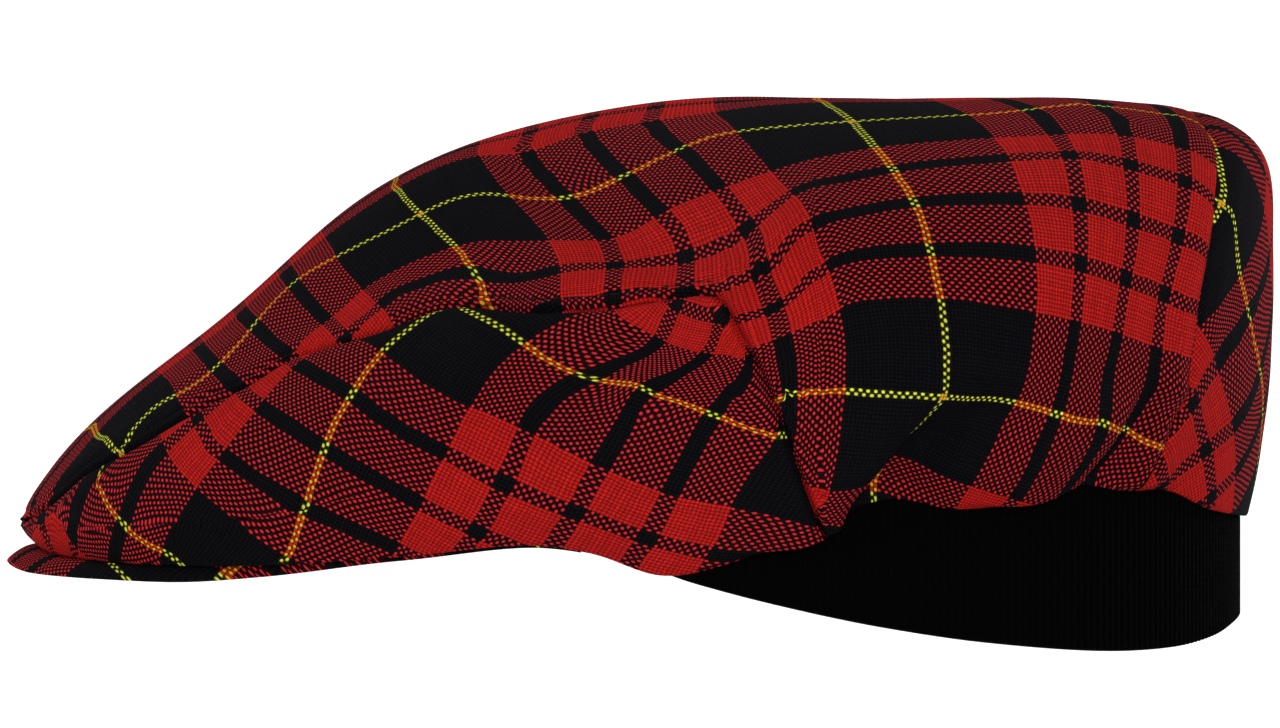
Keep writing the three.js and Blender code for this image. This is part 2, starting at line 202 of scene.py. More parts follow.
def cubic_sample(grid: np.ndarray, row: np.ndarray, column: np.ndarray, wraps: bool = False) -> np.ndarray:
    """Reads a grid between its points with a smooth cubic.

    Args:
        grid: rows by columns, with any number of values at each point.
        row: the place along the rows, in rows.
        column: the place along the columns, in columns.
        wraps: whether the last row is followed by the first.

    Returns:
        The values at each place.
    """
    def weights(t: np.ndarray) -> list[np.ndarray]:
        """The four weights of a Catmull-Rom cubic."""
        return [((-t + 2) * t - 1) * t / 2, ((3 * t - 5) * t * t + 2) / 2,
                ((-3 * t + 4) * t + 1) * t / 2, (t - 1) * t * t / 2]

    rows, columns = grid.shape[:2]
    row = np.mod(row, rows) if wraps else np.clip(row, 0, rows - 1)
    column = np.clip(column, 0, columns - 1)
    i = np.minimum(np.floor(row).astype(int), rows - 1 if wraps else rows - 2)
    j = np.minimum(np.floor(column).astype(int), columns - 2)
    out = np.zeros(row.shape + grid.shape[2:])
    for a, row_weight in enumerate(weights(row - i), -1):
        for b, column_weight in enumerate(weights(column - j), -1):
            at_row = np.mod(i + a, rows) if wraps else np.clip(i + a, 0, rows - 1)
            weight = (row_weight * column_weight).reshape(row.shape + (1,) * (grid.ndim - 2))
            out += weight * grid[at_row, np.clip(j + b, 0, columns - 1)]
    return out


def oval(angle: np.ndarray, reach: float, half_width: float, power: float) -> np.ndarray:
    """The radius of an oval plan at an angle. A power of 2 makes an ellipse, and more a squarer oval."""
    along = np.abs(np.cos(np.radians(angle))) / reach
    across = np.abs(np.sin(np.radians(angle))) / half_width
    return (along ** power + across ** power) ** (-1 / power)


def around(radius: np.ndarray, angle: np.ndarray, *height: np.ndarray) -> np.ndarray:
    """The places at distances and angles round the head's axis, and at heights where they are given."""
    turn = np.radians(angle)
    return np.stack([-radius * np.cos(turn), radius * np.sin(turn), *height], axis=-1)


def from_front(angle: np.ndarray) -> np.ndarray:
    """How far any angle is turned from the peak, 0 to 180."""
    return np.abs(np.mod(np.asarray(angle, float) + 180, 360) - 180)


def other_side(stops: np.ndarray) -> np.ndarray:
    """The stops (angle, fraction) of the far side that go on from these, past the centre back."""
    return stops[::-1] * FLIP + np.array([360, 0])


# ---- the crown's form ----

@dataclass(frozen=True)
class ProfileRow:
    """How the crown's profile runs at one angle."""

    angle: float
    bulge_radius: float
    bulge_height: float
    slope_power: float
    edge_power: float
    slope_dip: float = 0.0


@dataclass(frozen=True)
class Fold:
    """A soft ridge or hollow in the cloth, along a line of the side view.

    far_width is the width to the right of the path, and fade the share of the path over which the
    fold dies out at its far end.
    """

    STEPS = 24       # along a bent path

    name: str
    path: Path
    width: float
    rise: float
    far_width: float = 0.0
    fade: float = 0.0

    def lift(self, x: np.ndarray, z: np.ndarray) -> np.ndarray:
        """How far the fold lifts the cloth.

        Args:
            x: the places along the cap.
            z: their heights.

        Returns:
            The lift in millimetres, with soft ends.
        """
        best = np.full(np.shape(x), np.inf)
        side = np.zeros(np.shape(x))
        share = np.zeros(np.shape(x))
        points = even_path(self.path, self.STEPS) if len(self.path) > 2 else np.array(self.path)
        for step, ((x0, z0), (x1, z1)) in enumerate(zip(points[:-1], points[1:])):
            run = np.array([x1 - x0, z1 - z0])
            t = np.clip(((x - x0) * run[0] + (z - z0) * run[1]) / (run @ run), 0, 1)
            dx, dz = x - x0 - run[0] * t, z - z0 - run[1] * t
            apart = np.hypot(dx, dz)
            closer = apart < best
            best = np.where(closer, apart, best)
            side = np.where(closer, run[0] * dz - run[1] * dx, side)
            share = np.where(closer, (step + t) / (len(points) - 1), share)
        width = np.where(side < 0, self.far_width or self.width, self.width)
        kept = smooth_step((1 - share) / self.fade) if self.fade else 1.0
        return self.rise * bell(best, width) * kept


PROFILE = (
    ProfileRow(0, 171.2, 0.4, 2.31, 1.23, 9.1),
    ProfileRow(15, 163.5, -1, 2.3, 1.3, 7.5),
    ProfileRow(30, 140, 1, 2.25, 1.45, 4.5),
    ProfileRow(45, 120.5, 8, 2.2, 1.65, 1.5),
    ProfileRow(60, 110.5, 18, 2.15, 1.85),
    ProfileRow(75, 108, 28, 2.15, 2.05),
    ProfileRow(90, 109, 34, 2.2, 2.15),
    ProfileRow(105, 112, 38, 2.3, 2.25),
    ProfileRow(120, 114, 40, 2.5, 2.45),
    ProfileRow(135, 114, 44, 2.9, 2.8),
    ProfileRow(150, 111.5, 47, 3.8, 4.0),
    ProfileRow(165, 108.2, 49, 5.1, 5.5),
    ProfileRow(180, 106.6, 50, 5.8, 6.2),
)

# The crown's lower edge, as angle and height: level over the peak, a dip at its corner, then gathers.
RIM_HEIGHTS = ((0, -4), (10, -7), (20, -9), (30, -9.2), (42, -7.4), (54, -4.9), (62, -6.6), (71, -11.4),
               (80, -9), (90, -3), (98, 2.6), (105, 5), (113, 3), (120, 4), (129, 8.2), (139, 7),
               (147, 7), (157, 3), (180, 1.5))

# The seam from the front lip over the temple and down to the rim, seen from the side.
FRONT_SEAM = ((-170.5, 0), (-163, 4.5), (-155, 11.5), (-143, 18), (-121, 29.5), (-110, 36.5), (-92, 41.5),
              (-76, 48), (-60, 47), (-43, 47.5), (-28, 50.4), (-17, 49), (-11.7, 41), (-6.5, 30),
              (-1, 16), (4, 2))

# The arched back seam, as angle from the centre back and height.
BACK_SEAM = ((0, 91), (11, 89.9), (21, 86.3), (27, 80), (31.5, 73), (34.5, 65), (37, 55), (38.6, 44),
             (39.2, 27), (39.5, 7.5))

FOLDS = (
    Fold("droop over the rim", ((4, -4), (9, 5), (14.5, 11), (20, 17), (26, 23), (33, 31)),
         13, 6.5, 2.6, 0.5),
    Fold("hollow behind the droop", ((16, 4), (24, 12), (32, 17), (44, 22)), 7, -4.5),
    Fold("gather at the rim", ((57, 5), (62, 12), (66, 17), (71, 24), (76, 33)), 9, 3.6, 2.2, 0.5),
    Fold("hollow behind the gather", ((63, 5), (71, 14), (79, 24)), 5, -3.0),
    Fold("roll behind the hollow", ((48, 4), (52, 14), (60, 26)), 8, 2.2),
    Fold("slack by the back seam", ((74, 4), (79, 16), (83, 28)), 4, 2.4),
    Fold("valley on the top", ((-58, 76), (-42, 66), (-28, 58), (-18, 52)), 9, -4.6, 0.0, 0.3),
    Fold("ridge to the seam corner", ((-12, 47), (-4, 57), (4, 67), (12, 76)), 7, 4.2, 9.0, 0.4),
    Fold("trough in the side panel", ((-62, 18), (-50, 28), (-32, 38)), 9, -2.4),
    Fold("roll in the side panel", ((-42, 25), (-28, 36), (-13, 41)), 6, 1.2),
    Fold("puff under the front seam", ((-130, 15), (-100, 30), (-70, 38)), 9, 1.8),
    Fold("dip along the front slope", ((-120, 38), (-90, 50), (-60, 56)), 8, -1.6),
)


@dataclass
class CrownForm:
    """The crown's outer surface, by angle and by fraction up the profile."""

    height: float = 93.5
    rim_front: float = 168.0
    rim_back: float = 100.6
    rim_half_width: float = 86.0
    peak_plan_power: float = 2.4
    head_plan_power: float = 2.2
    dip_place: float = 0.766
    dip_width: float = 0.178
    angle_step: float = 0.5
    fraction_count: int = 401
    flank_points: int = 200       # of the profile's fine line below its bulge
    top_points: int = 900         # and above it
    top_crowding: float = 1.5
    tip: float = 0.985            # the fraction past which the way round the axis isn't clear
    top_fraction: float = 0.999
    least_radius: float = 10.0
    level_from: float = 0.9       # the fraction from which the outward direction turns upright
    level_over: float = 0.09
    fold_fade_height: float = 4.0
    fold_rim_share: float = 0.25
    fold_fade_width: float = 25.0
    halvings: int = 30            # in the search for a stop
    front_seam_steps: int = 70
    back_seam_steps: int = 120
    least_turn: float = 1e-4      # between two stops of the front seam
    table: np.ndarray = field(init=False, repr=False)
    lengths: np.ndarray = field(init=False, repr=False)

    def __post_init__(self) -> None:
        """Works out every profile once, on a fine grid."""
        names = ProfileRow.__dataclass_fields__
        keys, *columns = ([getattr(row, name) for row in PROFILE] for name in names)
        self.curves = [through(keys, column) for column in columns]
        self.rim_height = through(*zip(*RIM_HEIGHTS))
        paths = [self.profile(angle) for angle in np.arange(0, 180 + self.angle_step / 2, self.angle_step)]
        self.table = np.array([evenly(path, path, self.fraction_count - 1) for path in paths])
        self.lengths = np.array([travelled(path)[-1] for path in paths])

    def rim_radius(self, angle: np.ndarray) -> np.ndarray:
        """The rim's distance from the head's axis, at an angle up to 180."""
        front = np.asarray(angle, float) < 90
        return oval(angle, np.where(front, self.rim_front, self.rim_back), self.rim_half_width,
                    np.where(front, self.peak_plan_power, self.head_plan_power))

    def profile(self, angle: float) -> np.ndarray:
        """Runs up the profile at one angle.

        Args:
            angle: degrees from the peak.

        Returns:
            Fine points (radius, height) from the rim to the top centre.
        """
        bulge_r, bulge_z, slope, edge, dip = (float(curve(angle)) for curve in self.curves)
        rim_r, rim_z = float(self.rim_radius(angle)), float(self.rim_height(angle))
        t = np.linspace(0, 1, self.flank_points, endpoint=False)
        low = np.column_stack([rim_r + (bulge_r - rim_r) * (1 - (1 - t) ** 2),
                               rim_z + (bulge_z - rim_z) * t])
        turn = np.pi / 2 * np.linspace(0, 1, self.top_points) ** self.top_crowding
        out = np.clip(np.cos(turn), 0, 1) ** (2 / slope)
        up = bulge_z + (self.height - bulge_z) * np.sin(turn) ** (2 / edge)
        high = np.column_stack([bulge_r * out, up - dip * bell(out - self.dip_place, self.dip_width)])
        return np.vstack([low, high])

    def radius_height(self, angle: np.ndarray, fraction: np.ndarray) -> np.ndarray:
        """Reads (radius, height) at any angle and fraction."""
        return cubic_sample(self.table, from_front(angle) / self.angle_step,
                            np.clip(fraction, 0, 1) * (self.fraction_count - 1))

    def length(self, angle: np.ndarray) -> np.ndarray:
        """The profile's length at an angle."""
        return np.interp(from_front(angle) / self.angle_step, np.arange(len(self.lengths)), self.lengths)

    def smooth_place(self, angle: np.ndarray, fraction: np.ndarray) -> np.ndarray:
        """A place on the crown before its folds."""
        radius, height = np.moveaxis(self.radius_height(angle, fraction), -1, 0)
        return around(radius, angle, height)

    def normal(self, angle: np.ndarray, fraction: np.ndarray, step: float = 2.0) -> np.ndarray:
        """Finds the outward direction at places.

        Args:
            angle: their angles.
            fraction: their fractions.
            step: how far from each place the slope is measured, in millimetres.

        Returns:
            A direction for each, upright at the top centre.
        """
        angle, fraction = np.broadcast_arrays(np.asarray(angle, float), np.asarray(fraction, float))
        move = step / self.length(angle)
        high = np.minimum(fraction + move, self.top_fraction)
        low = np.maximum(np.minimum(fraction - move, self.tip), 0)
        up = self.smooth_place(angle, high) - self.smooth_place(angle, low)
        at = np.minimum(fraction, self.tip)
        turn = np.degrees(step / np.maximum(self.radius_height(angle, at)[..., 0], self.least_radius))
        across = self.smooth_place(angle + turn, at) - self.smooth_place(angle - turn, at)
        level = smooth_step((fraction - self.level_from) / self.level_over)[..., None]
        return directions(directions(np.cross(up, across)) * (1 - level) + np.array([0, 0, 1.0]) * level)

    def fold_lift(self, place: np.ndarray, above_rim: np.ndarray) -> np.ndarray:
        """The lift of all the folds together, faded at the rim and towards the centre line."""
        x, y, z = np.moveaxis(place, -1, 0)
        at_rim = smooth_step(above_rim / self.fold_fade_height + self.fold_rim_share)
        at_side = smooth_step(np.abs(y) / self.fold_fade_width)
        return sum(fold.lift(x, z) for fold in FOLDS) * at_rim * at_side

    def fraction_at_height(self, angle: float, height: float) -> float:
        """The fraction at which the profile reaches a height."""
        fractions = np.linspace(0, 1, self.fraction_count)
        heights = self.radius_height(np.full(self.fraction_count, angle), fractions)[:, 1]
        return float(np.interp(height, np.maximum.accumulate(heights), fractions))

    def stop_at(self, x: float, z: float) -> tuple[float, float]:
        """Turns a point of the side view into a stop on the crown, by halving.

        Args:
            x: the point's place along the cap.
            z: its height.

        Returns:
            Its angle and fraction.
        """
        low, high = 0.0, 180.0
        for _ in range(self.halvings):
            middle = (low + high) / 2
            fraction = self.fraction_at_height(middle, z)
            if self.smooth_place(np.array(middle), np.array(fraction))[0] < x:
                low = middle
            else:
                high = middle
        return (low + high) / 2, self.fraction_at_height((low + high) / 2, z)

    def front_seam(self, count: int) -> np.ndarray:
        """Even stops (angle, fraction) down the front seam, from the centre front to the rim."""
        rough = np.array([self.stop_at(x, z) for x, z in even_path(FRONT_SEAM, self.front_seam_steps)])
        rough[0, 0] = 0.0
        rough[:, 0] = np.maximum.accumulate(rough[:, 0] + np.arange(len(rough)) * self.least_turn)
        return self.even_stops(rough, count)

    def back_seam(self, count: int) -> np.ndarray:
        """Even stops (angle, fraction) up the back seam, from the rim to the centre back."""
        rough = np.array([(180 - b, self.fraction_at_height(180 - b, h)) for b, h in BACK_SEAM])
        climb = np.column_stack([np.radians(180 - rough[:, 0]) * self.radius_height(*rough.T)[:, 0],
                                 rough[:, 1] * self.length(rough[:, 0]), rough[:, 0]])
        path = even_path(climb[::-1], self.back_seam_steps)
        return self.even_stops(np.column_stack([path[:, 2], path[:, 1] / self.length(path[:, 2])]), count)

    def even_stops(self, stops: np.ndarray, count: int) -> np.ndarray:
        """Spaces stops evenly over the crown, count steps in all."""
        return evenly(self.smooth_place(*stops.T), stops, count)


# ---- flattening the cloth ----

class Way(Enum):
    """The two ways of the cloth."""

    ALONG = 1
    ACROSS = 0


@dataclass(frozen=True)
class SideView:
    """The view from the wearer's left that the cap's own side measurements are given in."""

    centre_x: float = -33.8
    centre_z: float = 34.5
    width: float = 283.0
    distance: float = 6000.0

    def project(self, places: np.ndarray) -> np.ndarray:
        """How far back and how high places seem to lie in the side view."""
        centre = np.array([self.centre_x, self.centre_z])
        scale = self.distance / (self.distance + places[..., 1])
        return (places[..., ::2] - centre) * scale[..., None] + centre


VIEW = SideView()


@dataclass
class Ties:
    """Points of a panel's cloth, each held to one way's place by the corners of its triangle."""

    corners: np.ndarray
    shares: np.ndarray
    wanted: np.ndarray

    def read(self, values: np.ndarray) -> np.ndarray:
        """The value at each tie, from the values at the panel's points."""
        return (values[self.corners] * self.shares).sum(1)

    def spread(self, pulls: np.ndarray, count: int) -> np.ndarray:
        """Shares each tie's pull among its corners."""
        return np.bincount(self.corners.ravel(), (self.shares * pulls[:, None]).ravel(), count)


class Flattener:
    """Lays a panel flat with as little stretch as its cloth allows."""

    SIDES = ((1, 2), (2, 0), (0, 1))
    WEIGHTS = (0.02, 20)

    def __init__(self, points: np.ndarray, faces: np.ndarray, guess: np.ndarray) -> None:
        """Keeps the panel and measures its triangles.

        Args:
            points: the panel's points in space.
            faces: its triangles.
            guess: a rough flat place for each point.
        """
        self.count, self.flat = len(points), guess.copy()
        corners = points[faces]
        first, second = corners[:, 1] - corners[:, 0], corners[:, 2] - corners[:, 0]
        length = np.linalg.norm(first, axis=1)
        area = np.linalg.norm(np.cross(first, second), axis=1)
        zero = np.zeros(len(faces))
        local = np.stack([zero, zero, length, zero, (first * second).sum(1) / length, area / length],
                         axis=1).reshape(-1, 3, 2)
        self.start = np.concatenate([faces[:, i] for i, _ in self.SIDES])
        self.end = np.concatenate([faces[:, j] for _, j in self.SIDES])
        self.own = np.concatenate([local[:, i] - local[:, j] for i, j in self.SIDES])
        spans = [((corners[:, i] - corners[:, k]) * (corners[:, j] - corners[:, k])).sum(1)
                 for k, (i, j) in enumerate(self.SIDES)]
        self.weight = np.clip(np.concatenate(spans) / np.maximum(np.tile(area, 3), TINY), *self.WEIGHTS)

    def gather(self, pulls: np.ndarray) -> np.ndarray:
        """Adds up the pulls of the triangles' sides on the points."""
        return np.bincount(self.start, pulls, self.count) - np.bincount(self.end, pulls, self.count)

    def turned_sides(self) -> np.ndarray:
        """Turns every triangle, unstretched, to its flat place.

        Returns:
            The turned sides of all the triangles.
        """
        now = self.flat[self.start] - self.flat[self.end]
        cos_part = (self.weight * (self.own * now).sum(1)).reshape(3, -1).sum(0)
        sin_part = (self.weight * cross(self.own, now)).reshape(3, -1).sum(0)
        size = np.maximum(np.hypot(cos_part, sin_part), 1e-12)
        cos_part, sin_part = np.tile(cos_part / size, 3), np.tile(sin_part / size, 3)
        return np.stack([cos_part * self.own[:, 0] - sin_part * self.own[:, 1],
                         sin_part * self.own[:, 0] + cos_part * self.own[:, 1]], axis=1)

    def relax(self, ties: dict[Way, Ties], strength: float, rounds: int, steps: int = 24) -> np.ndarray:
        """Relaxes the cloth, with lines of it drawn towards their places.

        Args:
            ties: each way's ties.
            strength: how strongly a tie pulls.
            rounds: the number of relaxing rounds.
            steps: the conjugate gradient steps in each.

        Returns:
            Each point's flat place.
        """
        diagonal = sum(np.bincount(ends, self.weight, self.count) for ends in (self.start, self.end))
        for _ in range(rounds):
            sides = self.turned_sides()
            for way, held in ties.items():

                def stiffness(x: np.ndarray) -> np.ndarray:
                    """The pull of the cloth and its ties for a given stretch."""
                    cloth = self.gather(self.weight * (x[self.start] - x[self.end]))
                    return cloth + strength * held.spread(held.read(x), self.count) + 1e-6 * x

                x = self.flat[:, way.value].copy()
                rest = self.gather(self.weight * sides[:, way.value])
                rest += strength * held.spread(held.wanted, self.count)
                rest -= stiffness(x)
                step = rest / diagonal
                power = rest @ step
                for _ in range(steps):
                    pull = stiffness(step)
                    share = power / max(step @ pull, 1e-30)
                    x += share * step
                    rest -= share * pull
                    fresh = rest / diagonal
                    new_power = rest @ fresh
                    step = fresh + step * new_power / max(power, 1e-30)
                    power = new_power
                self.flat[:, way.value] = x
        return self.flat


# ---- panels of cloth ----

@dataclass
class PanelGrid:
    """A panel as columns by rows of places on the crown. A wrapping panel ends in a point."""

    angle: np.ndarray
    fraction: np.ndarray
    wraps: bool = False

    @classmethod
    def between(cls, low: np.ndarray, high: np.ndarray, steps: np.ndarray,
                wraps: bool = False) -> "PanelGrid":
        """Fills the cloth between a panel's lower and upper edge.

        Args:
            low: a stop (angle, fraction) on the lower edge for each column.
            high: the column's stop on the upper edge.
            steps: the rows' places from 0 to 1.
            wraps: whether the panel runs all the way round and ends in a point.
        """
        return cls(*(low[:, k, None] + (high - low)[:, k, None] * steps for k in (0, 1)), wraps)

    def every(self, step: int) -> "PanelGrid":
        """The same panel with every few columns and rows only."""
        return PanelGrid(self.angle[::step, ::step], self.fraction[::step, ::step], self.wraps)

    def ids(self) -> np.ndarray:
        """The number of each grid point. A wrapping panel's last row is one point."""
        columns, rows = self.angle.shape
        if not self.wraps:
            return np.arange(columns * rows).reshape(columns, rows)
        body = np.arange(columns * (rows - 1)).reshape(columns, rows - 1)
        return np.column_stack([body, np.full(columns, body.size)])

    def by_number(self, values: np.ndarray) -> np.ndarray:
        """Turns values on the grid into one row for each numbered point.

        Args:
            values: columns by rows of values.

        Returns:
            Numbered points by values.
        """
        ids = self.ids()
        rows = np.zeros((ids.max() + 1, values.shape[-1]))
        rows[ids.ravel()] = values.reshape(-1, values.shape[-1])
        return rows

    def outline(self) -> np.ndarray:
        """The numbers of the points round the panel, which start along its lower edge."""
        ids = self.ids()
        if self.wraps:
            return ids[:, 0]
        return np.concatenate([ids[:, 0], ids[-1, 1:], ids[-2::-1, -1], ids[0, -2:0:-1]])

    def quads(self, row_step: int = 1) -> np.ndarray:
        """The grid's faces as rows of four point numbers, facing out for rising angles."""
        ids = self.ids()[:, ::row_step]
        nxt = np.roll(ids, -1, axis=0) if self.wraps else ids[1:]
        cur = ids if self.wraps else ids[:-1]
        return np.stack([cur[:, :-1], cur[:, 1:], nxt[:, 1:], nxt[:, :-1]], axis=-1).reshape(-1, 4)

    def triangles(self, flat: np.ndarray) -> np.ndarray:
        """Joins the points into triangles, which are well shaped where the panel wraps.

        Args:
            flat: the points' rough flat places.

        Returns:
            The triangles' point numbers.
        """
        if self.wraps:
            found = delaunay_2d_cdt([Vector(p) for p in flat], [], [self.outline().tolist()], 1, 1e-6)
            return np.array([[found[3][k][0] for k in face] for face in found[2]])
        quads = self.quads()
        return np.vstack([quads[:, [0, 1, 2]], quads[:, [0, 2, 3]]])


def graded(count: int, low_end: float = 1.0, high_end: float = 1.0, reach: float = 9.0) -> np.ndarray:
    """Steps from 0 to 1 that can be finer at the ends.

    Args:
        count: the number of steps.
        low_end: how much finer they are at 0. 1 is even.
        high_end: how much finer they are at 1.
        reach: how soon that wears off.

    Returns:
        count + 1 places.
    """
    t = np.linspace(0, 1, count + 1)
    rate = 1 + (low_end - 1) * np.exp(-t * reach) + (high_end - 1) * np.exp(-(1 - t) * reach)
    step = 1 / ((rate[1:] + rate[:-1]) / 2)
    return np.concatenate([[0], np.cumsum(step)]) / step.sum()


@dataclass(frozen=True)
class Seams:
    """How the cloth sinks at its seams and along the line stitched beside the front one."""

    depth: float = 0.7
    width: float = 1.2
    puff: float = 0.5
    puff_offset: float = 6.0
    puff_width: float = 3.5
    front_depth: float = 1.9
    front_width: float = 0.8
    stitch_offset: float = 2.7
    stitch_depth: float = 0.55
    stitch_width: float = 0.7
    centre_share: float = 0.3
    centre_reach: float = 40.0
    rim_reach: float = 3.0


SEAMS = Seams()


class CrownSurface:
    """The crown's finished outside: its form with folds, sunk seams and the cloth's soft unevenness."""

    UNEVEN_REACH = 15.0      # the height over the rim by which the cloth's waves are full
    SLOW, QUICK = 0.45, 0.13     # the heights of its slow and quick waves
    SEAM_POINTS = (360, 180)     # along the front and the back seam

    def __init__(self, form: CrownForm) -> None:
        """Spreads points along every seam, so that the cloth can sink towards them."""
        self.form = form
        front, back = form.front_seam(self.SEAM_POINTS[0]), form.back_seam(self.SEAM_POINTS[1])
        self.front_tree = self.tree_of([front])
        self.seam_tree = self.tree_of([front, back])

    def tree_of(self, seams: Sequence[np.ndarray]) -> KDTree:
        """Gathers the places along seams, on both sides of the cap, for quick searches.

        Args:
            seams: the stops (angle, fraction) along each seam.

        Returns:
            The tree of their places.
        """
        places = np.vstack([self.form.smooth_place(sign * seam[:, 0], seam[:, 1])
                            for seam in seams for sign in (1, -1)])
        tree = KDTree(len(places))
        for number, place in enumerate(places):
            tree.insert(place, number)
        tree.balance()
        return tree

    def distance(self, tree: KDTree, places: np.ndarray) -> np.ndarray:
        """How far each place lies from the nearest seam in a tree."""
        return np.array([tree.find(p)[2] for p in places.reshape(-1, 3)]).reshape(places.shape[:-1])

    def unevenness(self, places: np.ndarray) -> np.ndarray:
        """The small waves of soft cloth over a head-sized form, slow and quick, in millimetres."""
        x, y, z = np.moveaxis(places, -1, 0)
        y = np.abs(y)
        slow = np.sin(x / 17 + z / 29) * np.sin(y / 21 - x / 40 + 1.3)
        quick = np.sin(x / 7.3 - z / 9.1 + 0.7) * np.sin(y / 8.7 + z / 6.1)
        return slow * self.SLOW + quick * self.QUICK

    def outside(self, grid: PanelGrid) -> tuple[np.ndarray, np.ndarray]:
        """Places a panel's outside.

        Args:
            grid: the panel.

        Returns:
            The points and their outward directions, as columns by rows.
        """
        form = self.form
        smooth = form.smooth_place(grid.angle, grid.fraction)
        out = form.normal(grid.angle, grid.fraction)
        above_rim = grid.fraction * form.length(grid.angle)
        apart, front = self.distance(self.seam_tree, smooth), self.distance(self.front_tree, smooth)
        sides = smooth_step(np.abs(smooth[..., 1]) / SEAMS.centre_reach)
        sunk = SEAMS.puff * bell(apart - SEAMS.puff_offset, SEAMS.puff_width)
        sunk -= SEAMS.depth * bell(apart, SEAMS.width)
        sunk *= SEAMS.centre_share + (1 - SEAMS.centre_share) * sides
        sunk -= SEAMS.front_depth * bell(front, SEAMS.front_width)
        if grid.wraps:
            sunk -= SEAMS.stitch_depth * bell(front - SEAMS.stitch_offset, SEAMS.stitch_width)
        soft = self.unevenness(smooth) * smooth_step(above_rim / self.UNEVEN_REACH)
        lift = form.fold_lift(smooth, above_rim) + sunk * smooth_step(above_rim / SEAMS.rim_reach) + soft
        return smooth + out * lift[..., None], out


# ---- the cloth's pattern on each panel ----

@dataclass(frozen=True)
class PinSet:
    """Where lines of the tartan run over a panel, by their threads across and along it, from the side.

    shift is the thread across, counted from a yellow line, that the count of the lines starts at, and
    strength says how strongly the lines pull the cloth.
    """

    across: dict[int, Path]
    along: dict[int, Path]
    shift: float = 0.0
    strength: float = 6.0

    def lines(self, side: int) -> list[tuple[Way, float, Path]]:
        """The lines over the near side (1), or over the far side (-1) of a panel that crosses the middle."""
        return ([(Way.ACROSS, side * threads, path) for threads, path in self.across.items()]
                + [(Way.ALONG, threads, path) for threads, path in self.along.items()])


TOP_LINES = PinSet(
    across={
        -55: ((-143, 25), (-130, 31), (-118, 45), (-109, 54), (-90, 63.5), (-75, 71), (-65, 72), (-51, 71),
              (-40, 74), (-23, 83), (-12, 86), (13, 88), (46, 90), (66, 93)),
        -94: ((-91, 50), (-82, 53), (-72, 56), (-62, 53), (-52, 55), (-28, 57), (-20, 58), (-12, 62),
              (-2, 71), (6, 74.5), (16, 76.5), (33, 79), (62, 81), (75, 78.5), (87, 75)),
        -110: ((-54, 48.5), (-41, 49), (-33, 51), (-14, 51), (-8, 53), (-3, 56), (-1, 61), (4, 65),
               (11, 67.5), (24, 70), (46, 71), (64, 69.5), (75, 66), (91, 60.5)),
        -126: ((-6, 46), (-1, 48.5), (3, 54), (8, 57), (15, 59), (24, 59.5), (46, 59.5), (64, 56.5),
               (74, 53), (82, 50), (87, 47)),
        -140: ((13, 48.5), (33, 49), (46, 47), (62, 44), (72, 41), (84, 37)),
        -165: ((-6, 30), (10, 29), (35, 27), (51, 26), (58, 24), (66, 22), (68, 23.5), (74, 19), (80, 16.5)),
    },
    along={
        -110: ((-153, 22), (-151, 18), (-149, 15)),
        0: ((-89, 73), (-83, 68), (-76, 62), (-70, 56), (-65, 48)),
        39: ((-62, 82), (-51, 71), (-41, 62)),
        55: ((-48, 86), (-36, 74), (-25, 64)),
        71: ((-33, 88), (-23, 80), (-15, 72), (-7, 62)),
        110: ((4, 93), (13, 88), (25, 73), (29, 64), (33.5, 44), (34.5, 27)),
        135: ((48, 79), (51, 71), (53.5, 62), (54, 46), (51, 29)),
        149: ((58, 86), (62, 80), (63.5, 69), (63.5, 56), (62, 41), (60, 31), (58, 23), (55, 17)),
        165: ((71, 92), (74, 86), (75.5, 66), (73.5, 53), (71, 38), (68, 26)),
        181: ((85, 88), (86.5, 75), (85, 63), (81.5, 49), (79, 31), (77.5, 25)),
    },
    shift=55.0,
)

SIDE_LINES = PinSet(
    across={
        0: ((-73, 46.5), (-64, 42), (-57, 37), (-52, 34), (-45, 31.5), (-34, 30), (-28, 27.5), (-22, 25),
            (-9, 21), (-3, 19.5)),
        -25: ((-42.7, 47.1), (-30.9, 40.7), (-27.9, 38.9), (-19.7, 36.5)),
        -39: ((-24, 46.5), (-21, 44.6), (-17.3, 43), (-14.3, 41.5)),
        135: ((-161.6, 4.3), (-160, -4), (-155.8, -8.3)),
        25: ((-71, 25), (-61, 21), (-45, 13), (-28, 6), (-14, 3), (3, 0)),
        39: ((-111, 35), (-98, 28), (-87, 20), (-79, 16), (-64, 8), (-49, 2), (-32, -4), (-16, -8)),
        55: ((-121, 27.5), (-103, 15.5), (-87, 6), (-79, 2), (-67, -4)),
        71: ((-129, 16.5), (-120, 10), (-108, 3), (-86, -7)),
        110: ((-155, 12), (-154, 8), (-152, 4), (-148, -1), (-144, -4.5), (-137, -8)),
    },
    along={
        0: ((-81, 45), (-89, 39), (-94, 33.5), (-98, 27), (-102, 20), (-107, 5.5), (-111, -7)),
        -39: ((-142, 14), (-146, 5.5), (-148, -1.5)),
        -55: ((-155.4, 10), (-158.2, 3.7), (-158.7, -4.2)),
        -71: ((-165.5, 2), (-164.9, -3), (-162.9, -7.5)),
        39: ((-26.5, 46), (-27.9, 42.4), (-29.7, 38.9), (-35, 35.5), (-46, 31.5), (-52, 28.5), (-56, 25),
             (-59, 20), (-64, 8), (-70, -3)),
        55: ((-13, 40.5), (-16.1, 37.1), (-25, 32.4), (-33, 29.5), (-36, 23), (-42, 13), (-48, 2)),
        71: ((-10.8, 37.5), (-12, 34), (-16, 26.5), (-19, 21), (-26.5, 7), (-32, -4)),
        85: ((-4.5, 18), (-9.5, 10.5), (-14, 3)),
    },
    strength=16.0,
)

